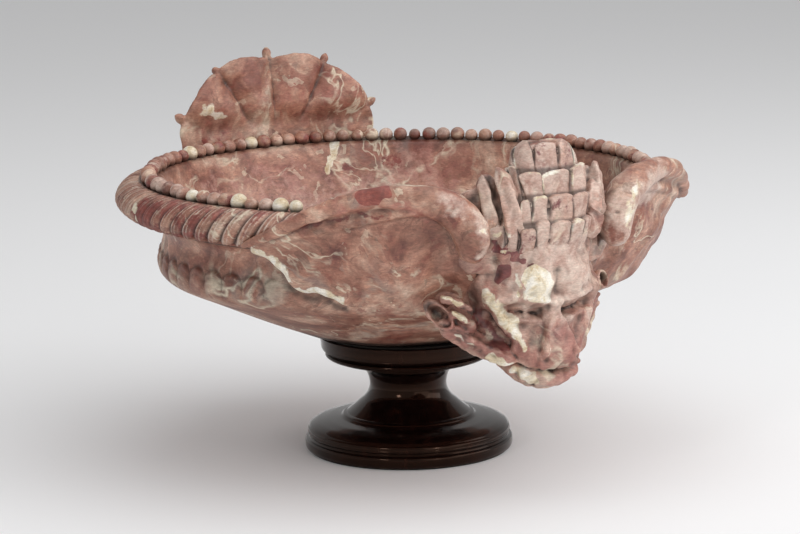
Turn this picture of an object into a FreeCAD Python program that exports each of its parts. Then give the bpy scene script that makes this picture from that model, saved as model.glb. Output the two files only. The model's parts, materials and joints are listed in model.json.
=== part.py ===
"""Carved marble basin with a winged mask, standing on a turned wood socle.

Millimetres. The origin is the middle of the socle's underside, Z is up and the
mask looks towards -Y. Every piece is written to its own STEP file.
"""
import FreeCAD, Part
import math
import os

# Cuts run past the faces they open by this much.
overrun = 4.0

# Socle, from the floor up.
felt_thickness = 1.5
felt_inset = 4.0
foot_diameter = 213.0
foot_fascia_height = 11.5
foot_edge_round = 2.5
foot_quirk_height = 3.5
foot_quirk_depth = 4.5
foot_torus_height = 12.0
foot_torus_setback = 2.5
foot_slope_height = 7.0
foot_step_diameter = 134.0
foot_step_height = 3.0
stem_height = 48.0
stem_lower_diameter = 122.0
stem_waist_diameter = 78.6
stem_upper_diameter = 104.0
stem_fillet_height = 2.0
tenon_diameter = 46.0
tenon_length = 18.0
tenon_clearance = 0.15
mortise_spare_depth = 1.0
cap_ring_height = 3.0
cap_ring_overhang = 2.0
cap_ogee_height = 11.0
cap_ogee_diameter = 170.0
cap_fascia_height = 19.0
cap_fascia_diameter = 178.0
cap_top_diameter = 182.0
stem_waist_height_share = 0.56
stem_lower_radius_share = 0.34
stem_lower_height_share = 0.36
stem_upper_radius_share = 0.30
stem_upper_height_share = 0.72
ogee_mid_radius_share = 0.48
ogee_mid_height_share = 0.30
fascia_mid_height_share = 0.45
torus_mid_radius_share = 0.18
torus_mid_height_share = 0.62

# The iron rod that ties the socle together and locates the bowl.
rod_diameter = 10.0
rod_hole_clearance = 0.5
rod_pin_length = 22.0
rod_end_chamfer = 1.5
rod_tail_length = 3.0
pin_clearance = 0.4
pin_spare_depth = 3.0
nut_across_flats = 17.0
nut_height = 8.0
nut_sides = 6
washer_diameter = 26.0
washer_thickness = 2.5
recess_clearance = 2.0
recess_spare_depth = 2.0

# Bowl: radii about its own axis and heights above its flat underside.
bowl_setback = 14.0
base_radius = 92.0
rim_radius = 286.5
rim_overhang = 46.5
rim_roll_width = 22.5
ledge_width = 19.0
neck_hollow = 6.5
belly_swell = 3.0
shoulder_inset = 4.0
underside_inset = 5.0
ledge_height = 161.0
rim_top_fall = 21.0
rim_under_fall = 33.5
neck_fall = 9.5
shoulder_fall = 11.0
belly_fall = 15.0
underside_fall = 9.5
floor_height = 42.0
bed_gap = 0.4
outline_steps = 24
rim_lower_radius_share = 0.66
rim_lower_height_share = 0.42
rim_upper_radius_share = 0.74
rim_upper_height_share = 0.66
cavity_radius_shares = (0.0, 0.37, 0.65, 0.84, 0.93, 0.985, 1.0)
cavity_height_shares = (0.0, 0.03, 0.15, 0.36, 0.61, 0.89, 1.0)

# Gadroons and beads of the rim.
lobe_count = 100
lobe_depth = 3.2
lobe_relief = 0.3
lobe_twist_share = 0.6
lobe_crown_share = 0.5
lobe_level_shares = (0.0, 0.25, 0.5, 0.75)
bead_count = 100
bead_fill_share = 0.906
bead_place_share = 0.5
bead_sink = 1.2
bead_inset = 8.0
bead_clear_angle = 51.0

# Wings: angles are measured round the bowl from the mask.
wing_tip_angle = 62.0
wing_root_angle = 14.0
wing_rise = 30.0
wing_drop = 131.0
wing_top_stand = 7.0
wing_mid_stand = 4.0
wing_low_stand = 9.0
wing_thickness = 16.0
wing_seat_depth = 34.0
wing_mid_height_share = 0.62
wing_angle_shares = (0.0, 0.15, 0.26, 0.38, 0.51, 0.66, 0.82, 1.0)
wing_top_shares = (-1.1, -0.45, 0.0, 0.45, 0.78, 1.0, 0.9, 0.45)
wing_low_shares = (0.33, 0.40, 0.60, 0.63, 0.76, 0.88, 0.96, 1.0)
wing_swell_shares = (0.1, 0.6, 1.0, 1.0, 1.0, 1.0, 1.0, 1.0)
wing_facets = 14
scroll_diameter = 36.0
scroll_stand = 2.0
scroll_end_share = 1.05
scroll_angle_shares = (0.66, 0.84, 0.92)
scroll_height_shares = (0.40, 0.05, -1.35)

# Mask: heights are measured from the bead ledge, depths from the rim's front.
head_drop = 171.0
head_width = 126.0
head_stand = 4.0
head_crown_rise = 2.0
head_drop_shares = (1.0, 0.94, 0.82, 0.67, 0.55, 0.42, 0.24, 0.0)
head_width_shares = (0.34, 0.56, 0.76, 0.90, 0.96, 1.0, 0.92, 0.80)
head_front_shares = (-1.0, 1.0, 2.2, 1.4, 0.6, 2.6, 2.2, 0.4)
head_side_shares = (-3.0, -3.4, -4.2, -6.0, -7.0, -7.0, -6.0, -5.0)
head_back_shares = (0.10, 0.24, 0.62, 0.90, 1.0, 1.0, 0.8, 0.3)
head_depth = 95.0
head_facets = 14
nose_width = 46.0
nose_bridge_width = 20.0
nose_length = 62.0
nose_stand = 22.0
nose_drop = 139.0
nose_root_depth = 24.0
brow_width = 54.0
brow_height = 24.0
brow_stand = 11.0
brow_drop = 78.0
brow_spread = 31.0
eye_diameter = 21.0
eye_spread = 30.0
eye_drop = 97.0
eye_stand = 2.0
muzzle_width = 50.0
muzzle_height = 34.0
muzzle_depth = 44.0
muzzle_spread = 24.0
muzzle_drop = 133.0
muzzle_sink_share = 0.25
chin_width = 66.0
chin_height = 24.0
chin_depth = 40.0
chin_drop = 160.0
chin_sink_share = 0.25
nostril_diameter = 7.0
nostril_depth = 10.0
nostril_spread = 11.0
nostril_drop = 134.0
pupil_diameter = 6.0
pupil_depth = 6.0
mouth_width = 72.0
mouth_height = 3.5
mouth_depth = 16.0
mouth_drop = 152.0
ear_length = 46.0
ear_diameter = 30.0
ear_tip_diameter = 16.0
ear_bore_diameter = 10.0
ear_bore_depth = 16.0
ear_drop = 94.0
ear_spread = 56.0
ear_setback = 30.0
ear_sweep_share = 0.45
crest_width = 90.0
crest_top_width = 72.0
crest_depth = 40.0
crest_top_depth = 26.0
crest_rise = 64.0
crest_drop = 36.0
crest_lean = 12.0
tile_rows = 4
tile_columns = 4
tile_stand = 9.0
tile_gap = 2.0
tile_thickness = 18.0
tile_place_share = 0.5
tuft_height = 66.0
tuft_diameter = 14.0
tuft_tip_diameter = 7.0
tuft_drop = 36.0
tuft_lean = 6.0
tuft_spreads = (50.0, 61.0)
tuft_height_shares = (1.0, 0.93)

# Fan on the back of the rim.
fan_radius = 120.0
fan_root_drop = 28.0
fan_root_radius = 16.0
fan_gap = 1.5
fan_thickness = 13.0
fan_lobe_swell = 5.0
fan_lobe_notch = 5.0
fan_lean = 10.0
fan_rib_count = 5
fan_rib_angle = 31.5
fan_side_angle = 82.0
fan_knob_diameter = 13.0
fan_knob_stand = 7.0
fan_plan_radius = 450.0
fan_place_shares = (0.0, 0.1, 0.3, 0.5, 0.7, 0.9)
fan_swell_shares = (0.08, 0.5, 0.9, 1.0, 0.9, 0.5)
fan_broken_rib = 1

# Iron dowels between the bowl and the pieces that project from it.
dowel_diameter = 8.0
dowel_clearance = 0.2
mask_dowel_diameter = 12.0
mask_dowel_spread = 24.0
mask_dowel_length = 62.0
wing_dowel_length = 26.0
wing_dowel_shares = (0.50, 0.74)
fan_dowel_length = 34.0
fan_dowel_spread = 52.0

# Radii and heights of the bowl that follow from its rim and its ledge.
ledge_radius = rim_radius - rim_roll_width
lip_radius = ledge_radius - ledge_width
rim_foot_radius = rim_radius - rim_overhang
neck_radius = rim_foot_radius - neck_hollow
belly_radius = rim_foot_radius + belly_swell
shoulder_radius = belly_radius - shoulder_inset
underside_radius = belly_radius - underside_inset
rim_height = ledge_height - rim_top_fall
rim_foot_height = rim_height - rim_under_fall
neck_height = rim_foot_height - neck_fall
shoulder_height = neck_height - shoulder_fall
belly_height = shoulder_height - belly_fall
underside_height = belly_height - underside_fall
bead_circle_radius = lip_radius + bead_inset
bead_diameter = bead_fill_share * 2 * math.pi * bead_circle_radius / bead_count

# Heights that follow from the sizes above.
foot_base = felt_thickness
fascia_top = foot_base + foot_fascia_height
quirk_top = fascia_top + foot_quirk_height
torus_top = quirk_top + foot_torus_height
slope_top = torus_top + foot_slope_height
foot_top = slope_top + foot_step_height
stem_top = foot_top + stem_height
cap_ring_top = stem_top + cap_ring_height
cap_ogee_top = cap_ring_top + cap_ogee_height
cap_top = cap_ogee_top + cap_fascia_height
bowl_base = cap_top + felt_thickness
ledge_z = bowl_base + ledge_height
bowl_axis = FreeCAD.Vector(0, bowl_setback, 0)
rim_front = bowl_setback - rim_radius
up = FreeCAD.Vector(0, 0, 1)


def spot(radius, height):
    """Point of an outline in the XZ plane."""
    return FreeCAD.Vector(radius, 0, height)


def polar(radius, angle, height, side=1):
    """Point round the bowl's axis; the angle starts at the mask, side 1 is +X."""
    turn = math.radians(angle)
    across = side * radius * math.sin(turn)
    return FreeCAD.Vector(across, bowl_setback - radius * math.cos(turn), height)


def blend(first, last, share):
    """Value a share of the way from the first to the last."""
    return first + (last - first) * share


def line(first, last):
    return Part.makeLine(first, last)


def arc(first, middle, last):
    return Part.Arc(first, middle, last).toShape()


def turned(edges, axis=FreeCAD.Vector(0, 0, 0)):
    """Solid of revolution of a closed outline in the XZ plane."""
    face = Part.Face(Part.Wire(edges))
    solid = face.revolve(FreeCAD.Vector(0, 0, 0), up, 360)
    solid.translate(axis)
    return solid


def chain(points):
    """Straight edges through the points, left open."""
    return [line(a, b) for a, b in zip(points, points[1:])]


def disc(radius, bottom, height, axis=FreeCAD.Vector(0, 0, 0)):
    return Part.makeCylinder(radius, height, axis + FreeCAD.Vector(0, 0, bottom), up)


def ellipsoid(centre, width, depth, height):
    """Ellipsoid with its three full widths along X, Y and Z."""
    ball = Part.makeSphere(1)
    matrix = FreeCAD.Matrix()
    matrix.scale(width / 2, depth / 2, height / 2)
    solid = ball.transformGeometry(matrix)
    solid.translate(centre)
    return solid


def biggest(shape):
    """The largest solid that a cut has left."""
    return max(shape.Solids, key=lambda solid: solid.Volume)


def mirrored(shape):
    return shape.mirror(FreeCAD.Vector(0, 0, 0), FreeCAD.Vector(1, 0, 0))


def rod_hole(bottom, height):
    return disc(rod_diameter / 2 + rod_hole_clearance, bottom - overrun, height + 2 * overrun)


recess_radius = washer_diameter / 2 + recess_clearance
foot_recess_depth = washer_thickness + nut_height + rod_tail_length + recess_spare_depth
cap_recess_depth = washer_thickness + nut_height + recess_spare_depth


def make_socle_foot():
    """Turned foot: fascia, quirk, ovolo, sloped top and a step with a mortise."""
    radius = foot_diameter / 2
    ovolo = radius - foot_torus_setback
    step = foot_step_diameter / 2
    edges = chain([
        spot(0, foot_base),
        spot(radius - foot_edge_round, foot_base),
        spot(radius, foot_base + foot_edge_round),
        spot(radius, fascia_top),
        spot(radius - foot_quirk_depth, fascia_top),
        spot(radius - foot_quirk_depth, quirk_top),
        spot(ovolo, quirk_top),
    ])
    middle = spot(blend(ovolo, step, torus_mid_radius_share * torus_mid_height_share),
                  blend(quirk_top, torus_top, torus_mid_height_share))
    shoulder = spot(blend(ovolo, step, torus_mid_radius_share * 2), torus_top)
    edges.append(arc(spot(ovolo, quirk_top), middle, shoulder))
    edges += chain([shoulder, spot(step, slope_top), spot(step, foot_top), spot(0, foot_top),
                    spot(0, foot_base)])
    foot = turned(edges)
    mortise = disc(tenon_diameter / 2 + tenon_clearance, foot_top - tenon_length - mortise_spare_depth,
                   tenon_length + mortise_spare_depth + overrun)
    recess = disc(recess_radius, foot_base - overrun, foot_recess_depth + overrun)
    return foot.cut([mortise, recess, rod_hole(foot_base, foot_top)])


def make_socle_stem():
    """Waisted stem with a round tenon at each end."""
    waist = spot(stem_waist_diameter / 2, blend(foot_top, stem_top, stem_waist_height_share))
    lower = spot(stem_lower_diameter / 2, foot_top + stem_fillet_height)
    upper = spot(stem_upper_diameter / 2, stem_top - stem_fillet_height)
    curve = Part.BSplineCurve()
    curve.interpolate([
        lower,
        spot(blend(waist.x, lower.x, stem_lower_radius_share),
             blend(lower.z, waist.z, stem_lower_height_share)),
        waist,
        spot(blend(waist.x, upper.x, stem_upper_radius_share),
             blend(waist.z, upper.z, stem_upper_height_share)),
        upper,
    ])
    foot_end = foot_top - tenon_length
    cap_end = stem_top + tenon_length
    tenon = tenon_diameter / 2
    edges = chain([spot(0, foot_end), spot(tenon, foot_end), spot(tenon, foot_top),
                   spot(lower.x, foot_top), lower])
    edges.append(curve.toShape())
    edges += chain([upper, spot(upper.x, stem_top), spot(tenon, stem_top), spot(tenon, cap_end),
                    spot(0, cap_end), spot(0, foot_end)])
    return turned(edges).cut(rod_hole(foot_end, cap_end))


def make_socle_cap():
    """Turned cap: ring, ogee and a fascia that carries the bowl."""
    ring = stem_upper_diameter / 2 + cap_ring_overhang
    ogee = cap_ogee_diameter / 2
    fascia = cap_fascia_diameter / 2
    top = cap_top_diameter / 2
    edges = chain([spot(0, stem_top), spot(ring, stem_top), spot(ring, cap_ring_top)])
    middle = spot(blend(ring, ogee, ogee_mid_radius_share),
                  blend(cap_ring_top, cap_ogee_top, ogee_mid_height_share))
    edges.append(arc(spot(ring, cap_ring_top), middle, spot(ogee, cap_ogee_top)))
    edges += chain([spot(ogee, cap_ogee_top), spot(fascia, cap_ogee_top)])
    swell = spot(top, blend(cap_ogee_top, cap_top, fascia_mid_height_share))
    edges.append(arc(spot(fascia, cap_ogee_top), swell, spot(top, cap_top)))
    edges += chain([spot(top, cap_top), spot(0, cap_top), spot(0, stem_top)])
    mortise = disc(tenon_diameter / 2 + tenon_clearance, stem_top - overrun,
                   tenon_length + mortise_spare_depth + overrun)
    recess = disc(recess_radius, cap_top - cap_recess_depth, cap_recess_depth + overrun)
    return turned(edges).cut([mortise, recess, rod_hole(stem_top, cap_top)])


def make_seat_felt():
    """Felt between the cap and the bowl, with a hole for the pin."""
    felt = disc(cap_top_diameter / 2 - felt_inset, cap_top, felt_thickness)
    return felt.cut(rod_hole(cap_top, felt_thickness))


def make_foot_felt():
    """Felt glued under the foot; it also hides the nut."""
    return disc(foot_diameter / 2 - felt_inset, 0, felt_thickness)


foot_nut_top = foot_base + foot_recess_depth - washer_thickness
cap_nut_base = cap_top - cap_recess_depth + washer_thickness


def make_centre_rod():
    """Tie rod; the part above the cap is the pin that locates the bowl."""
    bottom = foot_nut_top - nut_height - rod_tail_length
    top = bowl_base + rod_pin_length
    radius = rod_diameter / 2
    edges = chain([
        spot(0, bottom), spot(radius, bottom), spot(radius, top - rod_end_chamfer),
        spot(radius - rod_end_chamfer, top), spot(0, top), spot(0, bottom),
    ])
    return turned(edges)


def nut_at(bottom):
    corner = nut_across_flats / 2 / math.cos(math.pi / nut_sides)
    points = []
    for k in range(nut_sides + 1):
        turn = 2 * math.pi * k / nut_sides
        points.append(FreeCAD.Vector(corner * math.cos(turn), corner * math.sin(turn), bottom))
    nut = Part.Face(Part.makePolygon(points)).extrude(up * nut_height)
    return nut.cut(disc(rod_diameter / 2, bottom - overrun, nut_height + 2 * overrun))


def washer_at(bottom):
    washer = disc(washer_diameter / 2, bottom, washer_thickness)
    return washer.cut(rod_hole(bottom, washer_thickness))


def make_rod_nuts():
    return Part.makeCompound([nut_at(foot_nut_top - nut_height), nut_at(cap_nut_base)])


def make_rod_washers():
    return Part.makeCompound([washer_at(foot_nut_top), washer_at(cap_nut_base - washer_thickness)])


def bowl_spot(radius, height):
    """Point of the bowl's outline, its height above the bowl's underside."""
    return spot(radius, bowl_base + height)


def rim_arcs(grow=0):
    """Lower and upper arc of the rim's outline, moved outwards by grow."""
    foot = bowl_spot(rim_foot_radius + grow, rim_foot_height - grow)
    wide = bowl_spot(rim_radius + grow, rim_height)
    ledge = bowl_spot(ledge_radius + grow, ledge_height + grow)
    low = bowl_spot(blend(rim_foot_radius, rim_radius, rim_lower_radius_share) + grow,
                    blend(rim_foot_height, rim_height, rim_lower_height_share) - grow)
    high = bowl_spot(blend(ledge_radius, rim_radius, rim_upper_radius_share) + grow,
                     blend(rim_height, ledge_height, rim_upper_height_share) + grow)
    return Part.Arc(foot, low, wide), Part.Arc(wide, high, ledge)


def wall_edges(grow=0):
    """Outline of the bowl from its underside up to the foot of the rim, moved outwards by grow."""
    base = bowl_spot(base_radius + grow, -grow)
    under = bowl_spot(underside_radius + grow, underside_height - grow)
    belly = bowl_spot(belly_radius + grow, belly_height)
    shoulder = bowl_spot(shoulder_radius + grow, shoulder_height)
    neck = bowl_spot(neck_radius + grow, neck_height)
    foot = bowl_spot(rim_foot_radius + grow, rim_foot_height - grow)
    return [line(bowl_spot(0, -grow), base), line(base, under), arc(under, belly, shoulder),
            arc(shoulder, neck, foot)]


def make_seat_solid():
    """The bowl's filled outside with the bed gap; what projects from the bowl is fitted to it."""
    lower, upper = rim_arcs(bed_gap)
    edges = wall_edges(bed_gap) + [lower.toShape(), upper.toShape()]
    top = ledge_height + bed_gap
    edges += chain([bowl_spot(ledge_radius + bed_gap, top), bowl_spot(0, top), bowl_spot(0, -bed_gap)])
    return turned(edges, bowl_axis)


def lobed_ring(radius, height, depth, twist):
    """Closed outline of one arc for each gadroon."""
    step = 2 * math.pi / lobe_count
    arcs = []
    for k in range(lobe_count):
        ends = []
        for share, inset in ((0, depth), (lobe_crown_share, 0), (1, depth)):
            turn = step * (k + share + twist)
            reach = radius - inset
            ends.append(FreeCAD.Vector(reach * math.cos(turn), reach * math.sin(turn), height))
        arcs.append(arc(*ends))
    return Part.Wire(arcs)


def make_gadroons():
    """Rim with one slanted swelling for each gadroon."""
    lower, upper = rim_arcs()
    levels = [(lower, share) for share in lobe_level_shares]
    levels += [(upper, share) for share in lobe_level_shares + (1,)]
    rings = []
    for index, (curve, share) in enumerate(levels):
        at = curve.value(blend(curve.FirstParameter, curve.LastParameter, share))
        rise = index / (len(levels) - 1)
        depth = lobe_depth * math.sin(math.pi * rise)
        rings.append(lobed_ring(at.x - lobe_relief, at.z, depth, lobe_twist_share * rise))
    rim = Part.makeLoft(rings, True, False)
    rim.translate(bowl_axis)
    return rim


def make_beads():
    """Beads on the ledge, left out where the wings and the mask stand."""
    beads = []
    radius = bead_diameter / 2
    for k in range(bead_count):
        angle = 360 * (k + bead_place_share) / bead_count
        if min(angle, 360 - angle) > bead_clear_angle:
            place = polar(bead_circle_radius, angle, ledge_z + radius - bead_sink)
            beads.append(Part.makeSphere(radius, place))
    return beads


def make_cavity():
    """The hollow of the bowl, as a tool that opens it."""
    points = []
    for across, rise in zip(cavity_radius_shares, cavity_height_shares):
        points.append(bowl_spot(lip_radius * across, blend(floor_height, ledge_height, rise)))
    curve = Part.BSplineCurve()
    curve.interpolate(points)
    mouth = bowl_spot(lip_radius, ledge_height + overrun)
    centre = bowl_spot(0, ledge_height + overrun)
    edges = [curve.toShape()] + chain([points[-1], mouth, centre, points[0]])
    return turned(edges, bowl_axis)


def make_bowl(bores):
    """Bowl with gadrooned rim, beads, dowel holes and the socket for the rod's pin."""
    wall = wall_edges()
    wall += chain([bowl_spot(rim_foot_radius, rim_foot_height), bowl_spot(rim_foot_radius, rim_height),
                   bowl_spot(0, rim_height), bowl_spot(0, 0)])
    body = turned(wall, bowl_axis).fuse(make_gadroons())
    socket = disc(rod_diameter / 2 + pin_clearance, bowl_base - overrun,
                  rod_pin_length + pin_spare_depth + overrun)
    body = body.cut([make_cavity(), socket] + bores)
    return body.fuse(make_beads())


def outer_radius(height):
    """Radius of the bowl's outside at a height, for pieces that lie on it."""
    lower, upper = rim_arcs()
    reach = 0
    for edge in wall_edges()[1:] + [lower.toShape(), upper.toShape()]:
        points = edge.discretize(Number=outline_steps)
        for a, b in zip(points, points[1:]):
            if min(a.z, b.z) <= height <= max(a.z, b.z) and a.z != b.z:
                reach = max(reach, blend(a.x, b.x, (height - a.z) / (b.z - a.z)))
    return reach


def along(shares, place):
    """Value of a row of shares at a place from 0 to 1, on a smooth curve through them."""
    stop = place * (len(shares) - 1)
    k = min(int(stop), len(shares) - 2)
    t = stop - k
    before, first, last, after = (shares[max(k - 1, 0)], shares[k], shares[k + 1],
                                  shares[min(k + 2, len(shares) - 1)])
    slope_in = (last - before) / 2
    slope_out = (after - first) / 2
    swing = 3 * (last - first) - 2 * slope_in - slope_out
    return first + t * (slope_in + t * (swing + t * (slope_in + slope_out - 2 * (last - first))))


def wing_section(place):
    """Closed outline of the wing in the upright plane at a place from tip to root."""
    angle = blend(wing_tip_angle, wing_root_angle, along(wing_angle_shares, place))
    top = ledge_z + wing_rise * along(wing_top_shares, place)
    low = ledge_z - wing_drop * along(wing_low_shares, place)
    middle = blend(low, top, wing_mid_height_share)
    low_reach = outer_radius(low) + wing_low_stand
    top_reach = rim_radius + wing_top_stand
    straight = blend(low_reach, top_reach, wing_mid_height_share)
    mid_reach = blend(straight, rim_radius + wing_mid_stand, along(wing_swell_shares, place))
    outside = [polar(low_reach, angle, low),
               polar(mid_reach, angle, middle),
               polar(top_reach, angle, top)]
    inside = [polar(top_reach - wing_thickness, angle, top),
              polar(mid_reach - wing_seat_depth, angle, middle),
              polar(low_reach - wing_seat_depth, angle, low)]
    edges = [arc(*outside), line(outside[2], inside[0]), arc(*inside), line(inside[2], outside[0])]
    return Part.Wire(edges)


def make_scroll():
    """Thick roll of the wing's upper edge, bent down beside the mask."""
    places = []
    for across, rise in zip(scroll_angle_shares, scroll_height_shares):
        angle = blend(wing_tip_angle, wing_root_angle, across)
        places.append(polar(rim_radius - scroll_stand, angle, ledge_z + wing_rise * rise))
    path = Part.Arc(*places)
    start = path.tangent(path.FirstParameter)[0]
    radius = scroll_diameter / 2
    ring = Part.Wire(Part.makeCircle(radius, places[0], start))
    tube = Part.Wire(path.toShape()).makePipeShell([ring], True, False)
    ends = [Part.makeSphere(radius * scroll_end_share, place) for place in (places[0], places[2])]
    return tube.fuse(ends)


def make_wing(seat, head):
    """Right wing: a curved blade on the bowl's flank with a scroll by the mask."""
    sections = [wing_section(k / wing_facets) for k in range(wing_facets + 1)]
    blade = Part.makeLoft(sections, True, True)
    wing = biggest(blade.cut(seat)).fuse(make_scroll().cut(seat))
    return biggest(wing.cut(head + wing_dowel_set(dowel_clearance, (1,))))


def head_section(place):
    """Level outline of the head at a place from chin to crown, with a curved front."""
    height = ledge_z + blend(head_crown_rise, -head_drop, along(head_drop_shares, place))
    half = head_width * along(head_width_shares, place) / 2
    front = rim_front - head_stand * along(head_front_shares, place)
    side = rim_front - head_stand * along(head_side_shares, place)
    back = max(rim_front + head_depth * along(head_back_shares, place), side + head_stand)
    left = FreeCAD.Vector(-half, side, height)
    right = FreeCAD.Vector(half, side, height)
    edges = [arc(left, FreeCAD.Vector(0, front, height), right)]
    edges += chain([right, FreeCAD.Vector(half, back, height), FreeCAD.Vector(-half, back, height), left])
    return Part.Wire(edges)


def upright_box(half_low, half_high, front_low, front_high, back_low, back_high, low, high):
    """Tapered block between two level rectangles."""
    rings = []
    for half, front, back, height in ((half_low, front_low, back_low, low),
                                      (half_high, front_high, back_high, high)):
        corners = [(-half, front), (half, front), (half, back), (-half, back), (-half, front)]
        rings.append(Part.makePolygon([FreeCAD.Vector(x, y, height) for x, y in corners]))
    return Part.makeLoft(rings, True, True)


def make_crest():
    """Headdress: a block that leans back, with rows of upright tiles."""
    low = ledge_z - crest_drop
    high = ledge_z + crest_rise
    front_low = rim_front - head_stand
    front_high = front_low + crest_lean
    block = upright_box(crest_width / 2, crest_top_width / 2, front_low, front_high,
                        front_low + crest_depth, front_high + crest_top_depth, low, high)
    solids = [block]
    for row in range(tile_rows):
        bottom = blend(low, high, row / tile_rows)
        top = blend(low, high, (row + 1) / tile_rows)
        reach = front_low + crest_lean * row / tile_rows - tile_stand * (tile_rows - row) / tile_rows
        width = blend(crest_width, crest_top_width, row / tile_rows)
        count = tile_columns - row % 2
        pitch = width / count
        for column in range(count):
            centre = pitch * (column + tile_place_share) - width / 2
            tile = Part.makeBox(pitch - tile_gap, tile_thickness, top - bottom - tile_gap,
                                FreeCAD.Vector(centre - (pitch - tile_gap) / 2, reach, bottom))
            solids.append(tile)
    return solids


def make_tufts():
    """Locks that stand up at each temple."""
    solids = []
    for spread, share in zip(tuft_spreads, tuft_height_shares):
        foot = FreeCAD.Vector(spread, rim_front + tuft_diameter / 2, ledge_z - tuft_drop)
        lean = FreeCAD.Vector(0, tuft_lean, tuft_height * share)
        lock = Part.makeCone(tuft_diameter / 2, tuft_tip_diameter / 2, lean.Length, foot, lean)
        solids += [lock, mirrored(lock)]
    return solids


def make_ears():
    """Pierced ears that point out and back from the cheeks."""
    solids, bores = [], []
    foot = FreeCAD.Vector(ear_spread, rim_front + ear_setback, ledge_z - ear_drop)
    way = FreeCAD.Vector(1, ear_sweep_share, 0)
    way.normalize()
    ear = Part.makeCone(ear_diameter / 2, ear_tip_diameter / 2, ear_length,
                        foot - way * ear_length / 2, way)
    tip = foot + way * ear_length / 2
    bore = Part.makeCylinder(ear_bore_diameter / 2, ear_bore_depth + overrun, tip + way * overrun,
                             way * -1)
    for side in (lambda shape: shape, mirrored):
        solids.append(side(ear))
        bores.append(side(bore))
    return solids, bores


def make_face():
    """Brows, eyes, muzzle, chin and nose, overlapping the head."""
    solids = []
    for side in (-1, 1):
        brow = FreeCAD.Vector(side * brow_spread, rim_front - brow_stand + brow_height / 2,
                              ledge_z - brow_drop)
        solids.append(ellipsoid(brow, brow_width, brow_height, brow_height))
        eye = FreeCAD.Vector(side * eye_spread, rim_front - eye_stand + eye_diameter / 2,
                             ledge_z - eye_drop)
        solids.append(Part.makeSphere(eye_diameter / 2, eye))
        lip_front = rim_front - head_stand + muzzle_depth * muzzle_sink_share
        lip = FreeCAD.Vector(side * muzzle_spread, lip_front, ledge_z - muzzle_drop)
        solids.append(ellipsoid(lip, muzzle_width, muzzle_depth, muzzle_height))
    chin = FreeCAD.Vector(0, rim_front + head_stand + chin_depth * chin_sink_share, ledge_z - chin_drop)
    solids.append(ellipsoid(chin, chin_width, chin_depth, chin_height))
    tip = ledge_z - nose_drop
    root = rim_front + nose_root_depth
    nose = upright_box(nose_width / 2, nose_bridge_width / 2, rim_front - nose_stand,
                       rim_front - brow_stand, root, root, tip, tip + nose_length)
    return solids + [nose]


def make_face_cuts():
    """Nostrils, pupils and the slit of the mouth."""
    cuts = []
    inward = FreeCAD.Vector(0, 1, 0)
    for side in (-1, 1):
        nostril = FreeCAD.Vector(side * nostril_spread, rim_front - nose_stand - overrun,
                                 ledge_z - nostril_drop)
        cuts.append(Part.makeCylinder(nostril_diameter / 2, nostril_depth + overrun, nostril, inward))
        pupil = FreeCAD.Vector(side * eye_spread, rim_front - eye_stand - overrun, ledge_z - eye_drop)
        cuts.append(Part.makeCylinder(pupil_diameter / 2, pupil_depth + overrun, pupil, inward))
    corner = FreeCAD.Vector(-mouth_width / 2, rim_front - nose_stand,
                            ledge_z - mouth_drop - mouth_height / 2)
    cuts.append(Part.makeBox(mouth_width, nose_stand + mouth_depth, mouth_height, corner))
    return cuts


def make_head():
    return Part.makeLoft([head_section(k / head_facets) for k in range(head_facets + 1)], True, True)


def make_mask(seat):
    """Beast mask with headdress, tufts and ears, fitted to the bowl."""
    ears, bores = make_ears()
    crest = make_crest()
    mask = make_head().cut(seat).fuse(make_face())
    mask = mask.fuse(crest[0].fuse(crest[1:]).cut(seat))
    for piece in make_tufts() + ears:
        mask = mask.fuse(piece.cut(seat))
    return biggest(mask.cut(bores + make_face_cuts() + mask_dowel_set(dowel_clearance)))


fan_front = bowl_setback + bead_circle_radius + bead_diameter / 2 + fan_gap + fan_lobe_swell
fan_root = ledge_z - fan_root_drop


def fan_point(angle, reach, depth):
    """Point of the fan; it bends round with the rim and leans back with height."""
    turn = math.radians(angle)
    across = reach * math.sin(turn)
    rise = reach * math.cos(turn)
    bend = across * across / (2 * fan_plan_radius)
    back = fan_front + depth - bend + fan_lean * rise / fan_radius
    return FreeCAD.Vector(across, back, fan_root + rise)


def fan_section(angle, reach, swell):
    """Closed outline of the fan in the plane at one of its angles."""
    middle = (fan_root_radius + reach) / 2
    stops = (fan_root_radius, middle, reach)
    front = [fan_point(angle, stop, depth) for stop, depth in zip(stops, (0, -swell, 0))]
    back = [fan_point(angle, stop, fan_thickness + depth) for stop, depth in zip(stops, (0, swell, 0))]
    edges = [arc(*front), line(front[2], back[2]), arc(back[2], back[1], back[0]),
             line(back[0], front[0])]
    return Part.Wire(edges)


def make_tail_fan(seat):
    """Fan of swelling lobes between ribs that end in knobs; one knob has broken off."""
    angles = [fan_rib_angle * (k - (fan_rib_count - 1) / 2) for k in range(fan_rib_count)]
    stops = [-fan_side_angle] + angles + [fan_side_angle]
    sections = []
    for first, last in zip(stops, stops[1:]):
        for place, swell in zip(fan_place_shares, fan_swell_shares):
            notch = fan_lobe_notch * math.sin(math.pi * place)
            angle = blend(first, last, place)
            sections.append(fan_section(angle, fan_radius - notch, fan_lobe_swell * swell))
    sections.append(fan_section(stops[-1], fan_radius, fan_lobe_swell * fan_swell_shares[0]))
    fan = Part.makeLoft(sections, True, True)
    knobs = []
    for angle in angles[:fan_broken_rib] + angles[fan_broken_rib + 1:]:
        centre = fan_point(angle, fan_radius + fan_knob_stand / 2, fan_thickness / 2)
        knobs.append(Part.makeSphere(fan_knob_diameter / 2, centre))
    return biggest(fan.fuse(knobs).cut([seat] + fan_dowel_set(dowel_clearance)))


def dowel(centre, way, length, diameter):
    """A round dowel about its centre."""
    return Part.makeCylinder(diameter / 2, length, centre - way * length / 2, way)


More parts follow.
